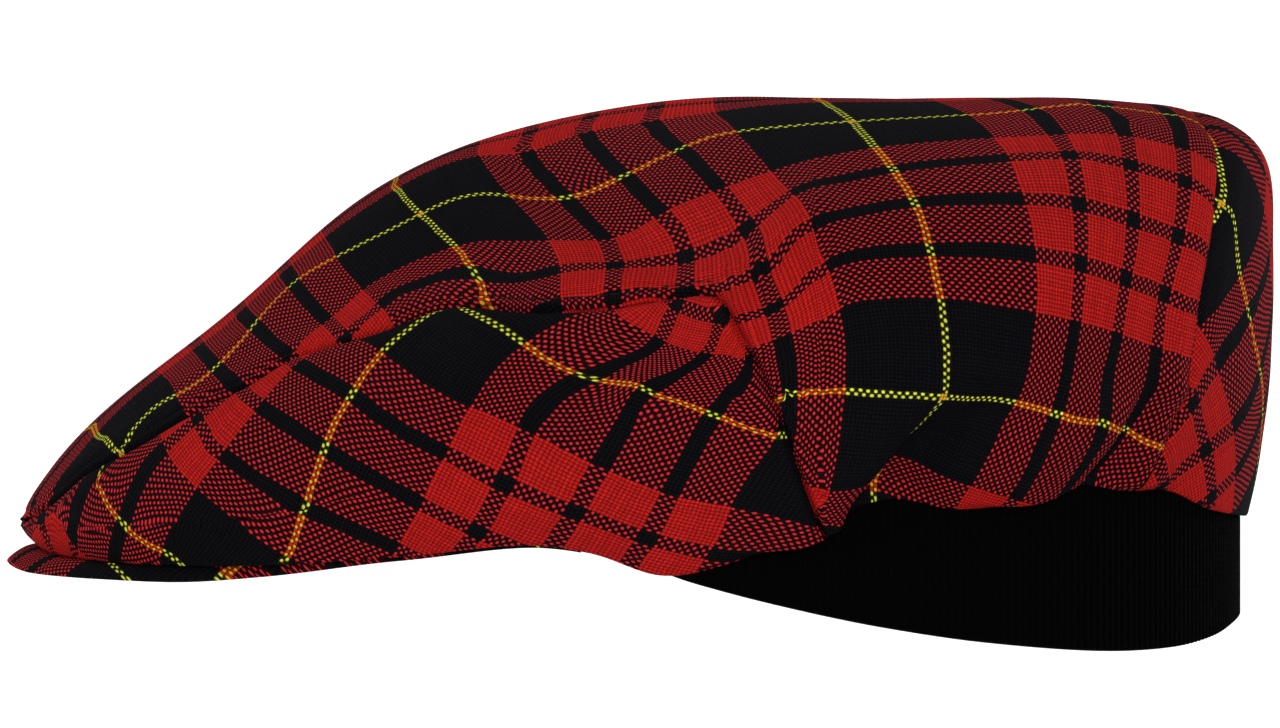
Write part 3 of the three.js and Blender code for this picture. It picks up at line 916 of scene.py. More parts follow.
BACK_LINES = PinSet(
    across={
        0: ((97.5, 69), (98, 63), (98, 55), (99.5, 49), (101, 43), (102, 36.5), (104, 29)),
        -39: ((89, 28.5), (90.5, 20.5), (92.5, 15), (93.5, 5.5)),
    },
    along={
        -110: ((96.2, 71.8), (94.9, 68.7), (93.4, 62.7)),
        -71: ((103, 52), (98, 43.5), (93, 35.5), (88.5, 26.5)),
        -55: ((103, 30), (98.5, 20.5), (92.5, 16)),
    },
    strength=4.0,
)


class PatternFit:
    """Finds where a panel's pattern lines lie on its cloth, and lays the cloth to suit them."""

    def __init__(self, places: np.ndarray, faces: np.ndarray) -> None:
        """Keeps the panel.

        Args:
            places: the panel's points in millimetres.
            faces: its triangles, facing out.
        """
        self.places, self.faces = places, faces
        corners = places[faces]
        self.facing = np.cross(corners[:, 1] - corners[:, 0], corners[:, 2] - corners[:, 0])[:, 1]

    def ties(self, pins: PinSet, sides: Sequence[int], spacing: float = 4.0) -> dict[Way, Ties]:
        """Ties points along the lines to the triangles that they cross.

        Args:
            pins: the pattern lines, as the side view shows them.
            sides: 1 for the near side and -1 for the far side, seen in a mirror.
            spacing: the distance between ties in millimetres.

        Returns:
            The ties of each way.
        """
        rows: dict[Way, list] = {way: [] for way in Way}
        for side in sides:
            seen = VIEW.project(self.places * np.array([1, side, 1]))
            faces = self.faces[self.facing * side < 0]
            a, b, c = np.moveaxis(seen[faces], 1, 0)
            depth = (self.places[faces][:, :, 1] * side).mean(1)
            area = cross(b - a, c - a)
            area = np.where(np.abs(area) < TINY, TINY, area)
            for way, threads, path in pins.lines(side):
                count = max(2, int(travelled(np.array(path))[-1] / spacing))
                for p in even_path(path, count):
                    wb, wc = cross(p - a, c - a) / area, cross(b - a, p - a) / area
                    inside = np.flatnonzero((wb >= 0) & (wc >= 0) & (wb + wc <= 1))
                    if len(inside):
                        k = inside[np.argmin(depth[inside])]
                        shares = (1 - wb[k] - wc[k], wb[k], wc[k])
                        rows[way].append((faces[k], shares, threads * THREAD_PITCH))
        return {way: Ties(*map(np.array, zip(*found))) for way, found in rows.items()}

    def lay(self, guess: np.ndarray, pins: PinSet, sides: Sequence[int], rounds: int = 200) -> np.ndarray:
        """Lays the panel flat in line with the cloth.

        Args:
            guess: a rough flat place for each point.
            pins: the pattern lines that the panel shows.
            sides: the sides of the cap on which they are tied.
            rounds: the rounds of relaxing.

        Returns:
            Each point's place in the cloth, in threads across and along.
        """
        ties = self.ties(pins, sides)
        turned = np.zeros_like(guess)
        for way, tie in ties.items():
            rule = linear_fit(np.column_stack([tie.read(column) for column in guess.T]), tie.wanted)
            turned[:, way.value] = guess @ rule[:2] + rule[2]
        corner = turned[self.faces]
        flipped = cross(corner[:, 1] - corner[:, 0], corner[:, 2] - corner[:, 0]).sum() < 0
        faces = self.faces[:, ::-1] if flipped else self.faces
        flat = Flattener(self.places, faces, turned).relax(ties, pins.strength, rounds)
        for way, tie in ties.items():
            miss = np.abs(tie.read(flat[:, way.value]) - tie.wanted)
            LOG.info("  %s: %d ties, %.2f mm off on average", way.name, len(miss), miss.mean())
        return flat / THREAD_PITCH + np.array([pins.shift, 0])


# ---- meshes ----

@dataclass
class Shell:
    """A closed skin of cloth: points, faces and each point's place in the cloth."""

    points: np.ndarray
    faces: np.ndarray
    cloth: np.ndarray

    def mirrored(self) -> "Shell":
        """The same shell on the other side of the centre line."""
        return Shell(self.points * MIRROR, self.faces[:, ::-1], self.cloth)


@dataclass
class Skin:
    """A panel's outside and inside, closed by a rounded edge.

    body is the sheet whose lower edge the rounding points away from. roundness says for each point
    of the outline how far the edge bulges, in half thicknesses, and rows counts the edge's rows.
    """

    grid: PanelGrid
    outer: np.ndarray
    inner: np.ndarray
    body: np.ndarray
    roundness: np.ndarray
    rows: int = 3

    def points(self) -> np.ndarray:
        """The points: outside, inside, then the edge row by row from the outside."""
        outer, inner = self.grid.by_number(self.outer), self.grid.by_number(self.inner)
        loop = self.grid.outline()
        away = np.zeros((len(loop), 3))
        away[:len(self.body)] = directions(self.body[:, 0] - self.body[:, 1])
        middle, half = (outer[loop] + inner[loop]) / 2, (outer[loop] - inner[loop]) / 2
        bulge = away * np.linalg.norm(half, axis=1, keepdims=True) * self.roundness[:, None]
        turns = np.linspace(0, math.pi, self.rows + 2)[1:-1]
        return np.vstack([outer, inner] + [middle + half * math.cos(t) + bulge * math.sin(t) for t in turns])

    def faces(self, lining_step: int = 1) -> np.ndarray:
        """The faces, with only some of the inside's rows where lining_step is more than 1."""
        count, loop = self.grid.ids().max() + 1, self.grid.outline()
        levels = [2 * count + k * len(loop) + np.arange(len(loop)) for k in range(self.rows)]
        levels = [loop] + levels + [loop + count]
        strips = [np.stack([high, np.roll(high, -1), np.roll(low, -1), low], axis=-1)
                  for high, low in zip(levels[:-1], levels[1:])]
        return np.vstack([self.grid.quads(), self.grid.quads(lining_step)[:, ::-1] + count] + strips)


class PanelBuilder:
    """Makes a cloth panel's closed shell from its grid."""

    def __init__(self, surface: CrownSurface, coarse_step: int = 4) -> None:
        """Keeps the crown's outside and the step of the coarser grid that is laid flat."""
        self.surface, self.step = surface, coarse_step

    def cloth_of(self, grid: PanelGrid, outer: np.ndarray, guess: np.ndarray, pins: PinSet) -> np.ndarray:
        """Works out each point's place in the cloth.

        Args:
            grid: the panel.
            outer: its outside points, as columns by rows.
            guess: their rough flat places.
            pins: the pattern lines.

        Returns:
            Threads across and along, as columns by rows.
        """
        coarse = grid.every(self.step)
        places = coarse.by_number(outer[::self.step, ::self.step])
        rough = coarse.by_number(guess[::self.step, ::self.step])
        sides = (1, -1) if grid.wraps else (1,)
        flat = PatternFit(places, coarse.triangles(rough)).lay(rough, pins, sides)
        rule = linear_fit(rough, flat)
        rest = (flat - rough @ rule[:2] - rule[2])[coarse.ids()]
        column, row = np.indices(grid.angle.shape) / self.step
        return guess @ rule[:2] + rule[2] + cubic_sample(rest, column, row, grid.wraps)

    def shell(self, grid: PanelGrid, guess: np.ndarray | None, pins: PinSet) -> Shell:
        """Makes a panel: its outside, its inside and an edge that is rounded at the rim.

        Args:
            grid: the panel.
            guess: its rough flat places, or nothing for a panel that is unrolled.
            pins: its pattern lines.

        Returns:
            The closed shell.
        """
        outer, out = self.surface.outside(grid)
        if guess is None:
            guess = self.unrolled(grid, outer)
        cloth = grid.by_number(self.cloth_of(grid, outer, guess, pins))
        loop = grid.outline()
        at_rim = np.zeros(len(loop))
        at_rim[:len(outer)] = grid.fraction[:, 0] < TINY if grid.wraps else 1.0
        skin = Skin(grid, outer, outer - out * CLOTH_THICKNESS, outer, at_rim)
        faces = skin.faces(self.step if grid.wraps else 1)
        return Shell(skin.points(), faces, np.vstack([cloth, cloth] + [cloth[loop]] * skin.rows))

    def unrolled(self, grid: PanelGrid, outer: np.ndarray) -> np.ndarray:
        """Unrolls an upright panel: the way round it, and the way up it."""
        round_it = travelled(outer[:, outer.shape[1] // 2])
        up_it = grid.fraction * self.surface.form.length(grid.angle)
        return np.stack([np.broadcast_to(round_it[:, None], up_it.shape), up_it], axis=-1)


def placed(name: str, data: bpy.types.ID) -> bpy.types.Object:
    """Puts a mesh, light or camera in the scene as an object at the origin."""
    obj = bpy.data.objects.new(name, data)
    bpy.context.scene.collection.objects.link(obj)
    return obj


def count_triangles(obj: bpy.types.Object) -> None:
    """Reports a finished piece."""
    LOG.info("%s: %d triangles", obj.name, sum(len(p.vertices) - 2 for p in obj.data.polygons))


class Workshop:
    """Turns shells into scene objects at the frame's own scale."""

    def __init__(self, unit: float) -> None:
        """Keeps the scale: metres for each millimetre of the form."""
        self.unit = unit

    def add(self, name: str, shell: Shell, material: bpy.types.Material) -> bpy.types.Object:
        """Makes a mesh object at the origin, with its cloth places as a UV map.

        Args:
            name: the piece's name.
            shell: its skin.
            material: its finish.

        Returns:
            The new object, linked to the scene.
        """
        faces = [[p for k, p in enumerate(face) if p != face[k - 1]] for face in shell.faces.tolist()]
        mesh = bpy.data.meshes.new(name)
        mesh.from_pydata((shell.points * self.unit).tolist(), [], [face for face in faces if len(face) > 2])
        if mesh.validate():
            LOG.warning("  %s: its mesh was mended", name)
        solid = bmesh.new()
        solid.from_mesh(mesh)
        bmesh.ops.recalc_face_normals(solid, faces=solid.faces)
        solid.to_mesh(mesh)
        solid.free()
        corner = np.zeros(len(mesh.loops), int)
        mesh.loops.foreach_get("vertex_index", corner)
        layer = mesh.uv_layers.new(name=CLOTH_MAP)
        layer.data.foreach_set("uv", shell.cloth[corner].ravel())
        mesh.shade_smooth()
        mesh.materials.append(material)
        obj = placed(name, mesh)
        count_triangles(obj)
        return obj


# ---- the crown ----

@dataclass
class Crown:
    """The tartan crown: a top that runs from lip to back, two front side panels and a back panel.

    Every count of columns and rows fits the coarser grid's step.
    """

    form: CrownForm
    front_seam_columns: int = 140
    rim_columns: int = 76
    back_seam_columns: int = 92
    top_rows: int = 112
    side_rows: int = 56
    back_rows: int = 72
    corner_gap: float = 1.5
    top_rim_fineness: float = 3.0
    wall_fineness: tuple[float, float] = (1.5, 3.0)
    fan_column: int = 40         # the first column of the front seam that may start the fan
    fan_height: float = 73.0     # where it ends on the back seam

    def __post_init__(self) -> None:
        """Finds the seams that part the panels."""
        self.builder = PanelBuilder(CrownSurface(self.form))
        self.front = self.form.front_seam(self.front_seam_columns)
        self.back = self.form.back_seam(self.back_seam_columns)

    def top_grid(self) -> PanelGrid:
        """The top panel: all round, from the seams and the rim to the top centre.

        Its columns fan out from the upright runs of the seams, so that none are crowded.

        Returns:
            The panel's grid.
        """
        rim_angles = np.linspace(self.front[-1, 0], self.back[0, 0], self.rim_columns + 1)[1:-1]
        rim = np.column_stack([rim_angles, np.zeros(len(rim_angles))])
        low = np.vstack([self.front, rim, self.back])
        ends = low[:, 0].copy()
        front_height, back_height = (self.form.smooth_place(*seam.T)[:, 2]
                                     for seam in (self.front, self.back))
        first = int(np.argmax(front_height[self.fan_column:])) + self.fan_column
        last = len(low) - len(self.back) + int(np.searchsorted(back_height, self.fan_height))
        ends[first:last + 1] = np.linspace(ends[first], ends[last], last - first + 1)
        high = np.column_stack([ends, np.ones(len(ends))])
        low, high = (np.vstack([half, other_side(half[1:-1])]) for half in (low, high))
        return PanelGrid.between(low, high, graded(self.top_rows, self.top_rim_fineness), wraps=True)

    def wall_grid(self, seam: np.ndarray, rows: int) -> PanelGrid:
        """A panel between a seam and the rim below it.

        Args:
            seam: the stops along the seam, with rising angles.
            rows: how finely the panel's height is divided.

        Returns:
            The panel's grid.
        """
        low = np.column_stack([seam[:, 0], np.zeros(len(seam))])
        high = np.maximum(seam[:, 1], self.corner_gap / self.form.length(seam[:, 0]))
        high = np.column_stack([seam[:, 0], high])
        return PanelGrid.between(low, high, graded(rows, *self.wall_fineness))

    def build(self) -> dict[str, Shell]:
        """Makes every panel.

        Returns:
            Each panel's shell, under the name of the solid that it dresses.
        """
        top = self.top_grid()
        spread = around((1 - top.fraction) * self.form.length(top.angle), top.angle)
        side = self.wall_grid(self.front[::-1] * FLIP, self.side_rows)
        back = self.wall_grid(np.vstack([self.back, other_side(self.back[:-1])]), self.back_rows)
        shells = {}
        for name, grid, guess, pins in (("crown_top", top, spread, TOP_LINES),
                                        ("front_side_left", side, None, SIDE_LINES),
                                        ("back_panel", back, None, BACK_LINES)):
            LOG.info("%s: laid flat", name)
            shells[name] = self.builder.shell(grid, guess, pins)
            if grid is side:
                shells["front_side_right"] = shells[name].mirrored()
        return shells


# ---- the peak ----

@dataclass
class Peak:
    """The short stiff peak under the front lip, covered in the same cloth.

    edge gives, at angles from the front, how far the peak stands out from the rim and how far below it.
    """

    form: CrownForm
    half_angle: float = 60.0
    thickness: float = 3.6
    rise: float = 7.0
    camber: float = 3.0
    slant: float = 2.2
    slant_share: float = 1 / 6
    edge_roundness: float = 0.6
    edge_rows: int = 7
    head_front: float = 101.0
    head_half_width: float = 80.0
    columns: int = 240
    rows: int = 30
    row_crowding: float = 1.3
    cloth_middle: tuple[float, float] = (63.0, 159.0)
    edge: tuple[tuple[float, float, float], ...] = (
        (0, 4.8, 1.4), (9, 4, 1), (18, 2.1, 0.4), (24, -0.8, 0.35), (30, -2.5, -0.8), (40, -2.6, -2.6),
        (60, -2.6, -3))

    def build(self) -> Shell:
        """Makes the peak: its top, a rounded edge and its underside.

        Returns:
            The peak's closed skin.
        """
        angles, stand_outs, belows = zip(*self.edge)
        angle = np.linspace(-self.half_angle, self.half_angle, self.columns + 1)[:, None]
        inward = (np.linspace(0, 1, self.rows + 1) ** self.row_crowding)[None, :]
        turned = np.abs(angle)
        edge = self.form.rim_radius(turned) + through(angles, stand_outs)(turned) - self.thickness / 2
        head = oval(turned, self.head_front, self.head_half_width, self.form.head_plan_power)
        radius = edge + (head - edge) * inward
        level = np.cos(np.radians(angle))
        lift = level * (self.rise * inward + self.camber * np.sin(np.pi * inward))
        height = self.form.rim_height(turned) - through(angles, belows)(turned) - self.thickness / 2 + lift
        sheet = around(radius, angle, height)
        up = np.zeros_like(sheet)
        up[..., 2] = self.thickness / 2
        up[..., 0] = self.slant * smooth_step(1 - inward / self.slant_share) * level ** 3
        grid = PanelGrid(np.broadcast_to(angle, radius.shape), np.broadcast_to(inward, radius.shape))
        skin = Skin(grid, sheet + up, sheet - up, sheet,
                    np.full(len(grid.outline()), self.edge_roundness), self.edge_rows)
        points = skin.points()
        cloth = (points[:, 1::-1] + np.array(self.cloth_middle)) / THREAD_PITCH
        cloth[:, 1] += np.minimum(points[:, 2], 0) / THREAD_PITCH
        return Shell(points, skin.faces(), cloth)


# ---- the ear flap ----

# The flap's lower edge, as angle and height.
FLAP_EDGE = ((66, -6), (71, -11), (79, -15), (91, -19.4), (103, -23), (118, -26.3), (136, -28.3),
             (150, -27.6), (160, -25.4), (170, -22.4), (180, -21))


@dataclass
class EarFlap:
    """The knitted band round the ears and neck, folded double at its lower edge."""

    form: CrownForm
    thickness: float = 2.4
    inset: float = 2.1
    tuck: float = 8.0
    start_angle: float = 66.0
    wale_pitch: float = 1.7
    wale_radius: float = 0.62
    columns: int = 400
    rows: int = 16
    fold_rows: int = 7
    fine: int = 2000

    def lines(self, count: int) -> tuple[np.ndarray, np.ndarray, np.ndarray, np.ndarray]:
        """Steps evenly round the band.

        Args:
            count: the number of steps.

        Returns:
            For each step, its plan place on the outside, its outward direction, and the heights of the
            lower and the upper edge.
        """
        fine = np.linspace(self.start_angle, 360 - self.start_angle, self.fine)
        plan = around(self.form.rim_radius(from_front(fine)) - self.inset, fine)
        steps = evenly(plan, np.column_stack([fine, plan]), count)
        turned, place = from_front(steps[:, 0]), steps[:, 1:]
        out = directions(np.gradient(place, axis=0)[:, ::-1] * FLIP)
        out *= np.sign((out * place).sum(1))[:, None]
        return place, out, through(*zip(*FLAP_EDGE))(turned), self.form.rim_height(turned) + self.tuck

    def build(self) -> Shell:
        """Makes the band: outside, folded lower edge and inside, closed along the top and at its ends.

        Returns:
            The band's closed skin.
        """
        place, out, low, high = self.lines(self.columns)
        radius = self.thickness / 2
        side, upright = np.zeros(self.rows + 1), np.linspace(1, 0, self.rows + 1)
        turn = np.linspace(0, math.pi, self.fold_rows + 2)[1:-1]
        depth = np.concatenate([side, radius - radius * np.cos(turn), side + self.thickness])
        share = np.concatenate([upright, np.zeros(len(turn)), upright[::-1]])
        drop = np.concatenate([side, radius * np.sin(turn), side])
        plan = place[:, None] - out[:, None] * depth[None, :, None]
        bottom = low[:, None] + radius
        z = bottom + (high[:, None] - bottom) * share - drop
        columns, rows = z.shape
        ids = np.arange(columns * rows).reshape(columns, rows)
        nxt = np.roll(ids, -1, axis=1)
        sheet = np.stack([nxt[:-1], nxt[1:], ids[1:], ids[:-1]], axis=-1).reshape(-1, 4)
        first = np.arange(rows // 2 - (rows + 1) % 2)
        end = np.stack([first, first + 1, rows - 2 - first, rows - 1 - first], axis=-1)
        faces = np.vstack([sheet, ids[0][end], ids[-1][end][:, ::-1]])
        step = np.broadcast_to(np.arange(columns)[:, None] / columns, z.shape)
        cloth = np.stack([step * travelled(place)[-1], z], axis=-1) / self.wale_pitch
        points = np.concatenate([plan, z[..., None]], axis=-1)
        return Shell(points.reshape(-1, 3), faces, cloth.reshape(-1, 2))


# ---- finishes ----

Colour = tuple[float, ...]
Socket = bpy.types.NodeSocket


def linear(red: int, green: int, blue: int) -> Colour:
    """Turns a screen colour of 0 to 255 into the colour that a shader takes."""
    parts = [value / 255 for value in (red, green, blue)]
    return tuple(p / 12.92 if p <= 0.04045 else ((p + 0.055) / 1.055) ** 2.4 for p in parts) + (1.0,)


class NodeTree:
    """A node tree, with short ways to add to it."""

    def __init__(self, tree: bpy.types.NodeTree) -> None:
        """Keeps the tree."""
        self.tree = tree

    def feed(self, socket: Socket, value: object) -> None:
        """Links an output to a socket, or sets the socket's value."""
        if isinstance(value, Socket):
            self.tree.links.new(value, socket)
        else:
            socket.default_value = value

    def add(self, kind: str, inputs: dict | None = None, output: int | str = 0,
            **settings: object) -> Socket:
        """Adds a node.

        Args:
            kind: the node's type.
            inputs: a value or an output for each named or numbered socket.
            output: the wanted output.
            settings: the node's own properties.

        Returns:
            The wanted output.
        """
        node = self.tree.nodes.new(kind)
        for name, value in settings.items():
            setattr(node, name, value)
        for key, value in (inputs or {}).items():
            self.feed(node.inputs[key], value)
        return node.outputs[output]


class Graph(NodeTree):
    """A matt material's node tree."""

    def __init__(self, name: str) -> None:
        """Makes the material with one Principled shader."""
        self.material = bpy.data.materials.new(name)
        self.material.use_nodes = True
        super().__init__(self.material.node_tree)

    def math(self, operation: str, a: object, b: object = 0.0, c: object = 0.0) -> Socket:
        """Adds a Math node and gives its result."""
        return self.add("ShaderNodeMath", {0: a, 1: b, 2: c}, operation=operation)

    def vector(self, operation: str, inputs: dict, output: int | str = 0) -> Socket:
        """Adds a Vector Math node and gives its result."""
        return self.add("ShaderNodeVectorMath", inputs, output, operation=operation)

    def mix(self, share: object, first: object, second: object, blend: str = "MIX") -> Socket:
        """Mixes two colours."""
        return self.add("ShaderNodeMix", {0: share, 6: first, 7: second}, 2, data_type="RGBA",
                        blend_type=blend)

    def over(self, colour: Socket, channel: int, least: float) -> Socket:
        """Whether a channel of a colour is over a value, as 1 or 0."""
        return self.math("GREATER_THAN", self.add("ShaderNodeSeparateColor", {0: colour}, channel), least)

    def place(self) -> Socket:
        """The object's own coordinates."""
        return self.add("ShaderNodeTexCoord", output="Object")

    def fuzz(self, scale: float) -> Socket:
        """The fine noise of loose fibres."""
        return self.add("ShaderNodeTexNoise", {"Vector": self.place(), "Scale": scale, "Detail": 4.0,
                                               "Roughness": 0.7})

    def bump(self, height: Socket, strength: float, distance: float) -> Socket:
        """The normal of a fine relief."""
        return self.add("ShaderNodeBump", {"Strength": strength, "Distance": distance, "Height": height})

    def finish(self, colour: object, roughness: float, specular: float,
               normal: Socket | None = None) -> bpy.types.Material:
        """Feeds the shader.

        Args:
            colour: its colour.
            roughness: how rough it is.
            specular: how much it shines.
            normal: its relief, if any.

        Returns:
            The finished material.
        """
        inputs = self.tree.nodes["Principled BSDF"].inputs
        self.feed(inputs["Base Color"], colour)
        self.feed(inputs["Roughness"], roughness)
        self.feed(inputs["Specular IOR Level"], specular)
        if normal:
            self.feed(inputs["Normal"], normal)
        return self.material


@dataclass(frozen=True)
class TartanCloth:
    """Woollen tartan, woven one over one, with the same stripes both ways, and painted shade in the gaps
    between its floats.
    """

    red: Colour = linear(200, 33, 30)
    black: Colour = linear(16, 16, 20)
    yellow: Colour = linear(228, 234, 78)
    yellow_by_red: Colour = linear(255, 172, 40)
    red_by_black: Colour = linear(214, 47, 55)
    red_float_sharpness: float = 0.5
    yellow_threads: int = 2
    wide_black: int = 24
    red_band: int = 12
    thin_black: int = 4
    wander_scale: float = 220.0
    wander: float = 0.8                  # in threads
    thread_shade: tuple[float, float] = (0.3, 0.85)
    fleck_shade: tuple[float, float] = (0.7, 0.65)
    roughness: float = 0.95
    specular: float = 0.04
    weave_depth: float = 0.35
    weave_strength: float = 0.55
    fibre_scale: float = 2600.0
    fibre_height: float = 0.5
    float_width: float = 0.84
    float_length: float = 1.12
    float_fade: tuple[float, float] = (0.45, 1.25)
    # Painted shade: the gaps beside each float show the thread beneath, darkened by the first share where
    # the two threads differ and by the second in plain stripes.
    gap_shade: float = 0.05
    plain_gap_shade: float = 0.36
    same_colour: float = 0.1             # how far apart two colours may be, and when they differ, for the painted shade in the gaps
    other_colour: float = 0.4
    red_least: float = 0.2               # of a red thread's red channel
    yellow_least: float = 0.3            # of a yellow thread's green channel

    def half_sett(self) -> list[tuple[float, Colour]]:
        """Where each stripe starts, in threads from the middle of a yellow line to the mirror line."""
        at, stops = 0.0, []
        for width, colour in ((self.yellow_threads / 2, self.yellow), (self.wide_black, self.black),
                              (self.red_band, self.red), (self.thin_black, self.black),
                              (self.red_band, self.red), (self.thin_black / 2, self.black)):
            stops.append((at, colour))
            at += width
        return stops + [(at, self.black)]

    def thread_colour(self, graph: Graph, number: Socket) -> Socket:
        """Works out the colour of a thread from its number.

        Args:
            graph: the material's tree.
            number: the thread's number.

        Returns:
            The colour.
        """
        stops = self.half_sett()
        folded = graph.math("PINGPONG", graph.math("ADD", number, 0.5), stops[-1][0])
        ramp = graph.add("ShaderNodeValToRGB", {0: graph.math("DIVIDE", folded, stops[-1][0])})
        bands = ramp.node.color_ramp
        bands.interpolation = "CONSTANT"
        bands.elements.remove(bands.elements[1])
        bands.elements[0].position, bands.elements[0].color = 0.0, stops[0][1]
        for place, colour in stops[1:-1]:
            bands.elements.new(place / stops[-1][0]).color = colour
        seed = graph.add("ShaderNodeTexWhiteNoise", {"W": number}, noise_dimensions="1D")
        return graph.mix(1.0, ramp, graph.math("MULTIPLY_ADD", seed, *self.thread_shade), "MULTIPLY")

    def pillow(self, graph: Graph, sides: list[Socket], over: Socket) -> Socket:
        """The rounded top of each float.

        Args:
            graph: the material's tree.
            sides: how far a place lies from the middle of its thread, each way.
            over: whether the thread that runs along lies over the other.

        Returns:
            A height of 1 on the float and 0 in the gaps, which also fades the float's colour into the gaps'
            painted shade.
        """
        under = graph.math("SUBTRACT", 1.0, over)
        squares = []
        for first, second, size in ((over, under, self.float_width), (under, over, self.float_length)):
            reach = graph.math("ADD", graph.math("MULTIPLY", sides[0], first),
                               graph.math("MULTIPLY", sides[1], second))
            share = graph.math("DIVIDE", reach, size)
            squares.append(graph.math("MULTIPLY", share, share))
        low, high = self.float_fade
        return graph.add("ShaderNodeMapRange", {"Value": graph.math("SQRT", graph.math("ADD", *squares)),
                                                1: low, 2: high, 3: 1.0, 4: 0.0},
                         interpolation_type="SMOOTHSTEP")

    def make(self) -> bpy.types.Material:
        """Builds the material.

        Returns:
            The finish, which reads the piece's own cloth map.
        """
        graph = Graph("tartan cloth")
        wander = graph.add("ShaderNodeTexNoise", {"Vector": graph.place(), "Scale": self.wander_scale,
                                                  "Detail": 2.0}, 1)
        shift = graph.vector("SUBTRACT", {0: wander, 1: (0.5, 0.5, 0.5)})
        shift = graph.vector("SCALE", {0: shift, "Scale": self.wander})
        cloth = graph.vector("ADD", {0: graph.add("ShaderNodeUVMap", uv_map=CLOTH_MAP), 1: shift})
        across = graph.add("ShaderNodeSeparateXYZ", {0: cloth})
        along = across.node.outputs[1]
        warp, weft = graph.math("FLOOR", across), graph.math("FLOOR", along)
        even = graph.math("FLOORED_MODULO", graph.math("ADD", warp, weft), 2.0)
        over = graph.math("LESS_THAN", even, 0.5)
        threads = [self.thread_colour(graph, weft), self.thread_colour(graph, warp)]
        top, under = graph.mix(over, threads[0], threads[1]), graph.mix(over, threads[1], threads[0])
        sides = []
        for value, number in ((across, warp), (along, weft)):
            inside = graph.math("SUBTRACT", graph.math("SUBTRACT", value, number), 0.5)
            sides.append(graph.math("ABSOLUTE", graph.math("MULTIPLY", inside, 2.0)))
        pillow = self.pillow(graph, sides, over)
        fuzz = graph.fuzz(self.fibre_scale)
        bump = graph.bump(graph.math("MULTIPLY_ADD", fuzz, self.fibre_height, pillow), self.weave_strength,
                          self.weave_depth / 1000)
        # Painted shade in the gaps: darker the more the thread beneath differs from the float over it.
        apart = graph.vector("DISTANCE", {0: top, 1: under}, "Value")
        shade = graph.add("ShaderNodeMapRange", {"Value": apart, 1: self.same_colour, 2: self.other_colour,
                                                 3: self.plain_gap_shade, 4: self.gap_shade})
        yellow, bright = graph.over(top, 1, self.yellow_least), graph.over(top, 0, self.red_least)
        over_red = graph.over(under, 0, self.red_least)
        red_alone = graph.math("SUBTRACT", graph.math("SUBTRACT", bright, yellow), over_red)
        red_over_black = graph.math("GREATER_THAN", red_alone, 0.5)
        top = graph.mix(graph.math("MULTIPLY", yellow, over_red), top, self.yellow_by_red)
        top = graph.mix(red_over_black, top, self.red_by_black)
        sharper = graph.math("MULTIPLY_ADD", red_over_black, self.red_float_sharpness, 1.0)
        # The thread beneath, darkened with painted shade, fills the gaps round each float.
        gaps = graph.mix(1.0, under, shade, "MULTIPLY")
        colour = graph.mix(graph.math("POWER", pillow, sharper), gaps, top)
        fleck = graph.math("MULTIPLY_ADD", fuzz, *self.fleck_shade)
        return graph.finish(graph.mix(1.0, colour, fleck, "MULTIPLY"), self.roughness, self.specular, bump)


@dataclass(frozen=True)
class RibKnit:
    """Black ribbed knit. Its sizes are in metres."""

    colour: Colour = linear(2, 2, 3)
    roughness: float = 0.95
    specular: float = 0.04
    row_pitch: float = 0.0013
    row_height: float = 0.3
    fibre_scale: float = 1800.0
    relief: float = 0.0004
    relief_strength: float = 0.5
    fleck_shade: tuple[float, float] = (1.4, 0.4)

    def make(self) -> bpy.types.Material:
        """Builds the material, which reads the object's own coordinates.

        Returns:
            The finish.
        """
        graph = Graph("rib knit")
        turns = (0.0, 0.0, 2 * math.pi / self.row_pitch)
        rows = graph.add("ShaderNodeMapping", {0: graph.place(), "Scale": turns})
        stitch = graph.math("SINE", graph.add("ShaderNodeSeparateXYZ", {0: rows}, 2))
        fuzz = graph.fuzz(self.fibre_scale)
        bump = graph.bump(graph.math("MULTIPLY_ADD", stitch, self.row_height, fuzz), self.relief_strength,
                          self.relief)
        shade = graph.math("MULTIPLY_ADD", fuzz, *self.fleck_shade)
        colour = graph.mix(1.0, self.colour, shade, "MULTIPLY")
        return graph.finish(colour, self.roughness, self.specular, bump)


@dataclass(frozen=True)
class Plain:
    """A matt colour, for thread, floor and backdrop."""

    name: str
    colour: Colour
    roughness: float = 0.9
    specular: float = 0.2

    def make(self) -> bpy.types.Material:
        """Builds the material."""
        return Graph(self.name).finish(self.colour, self.roughness, self.specular)


# ---- what repeats: stitches and wales ----

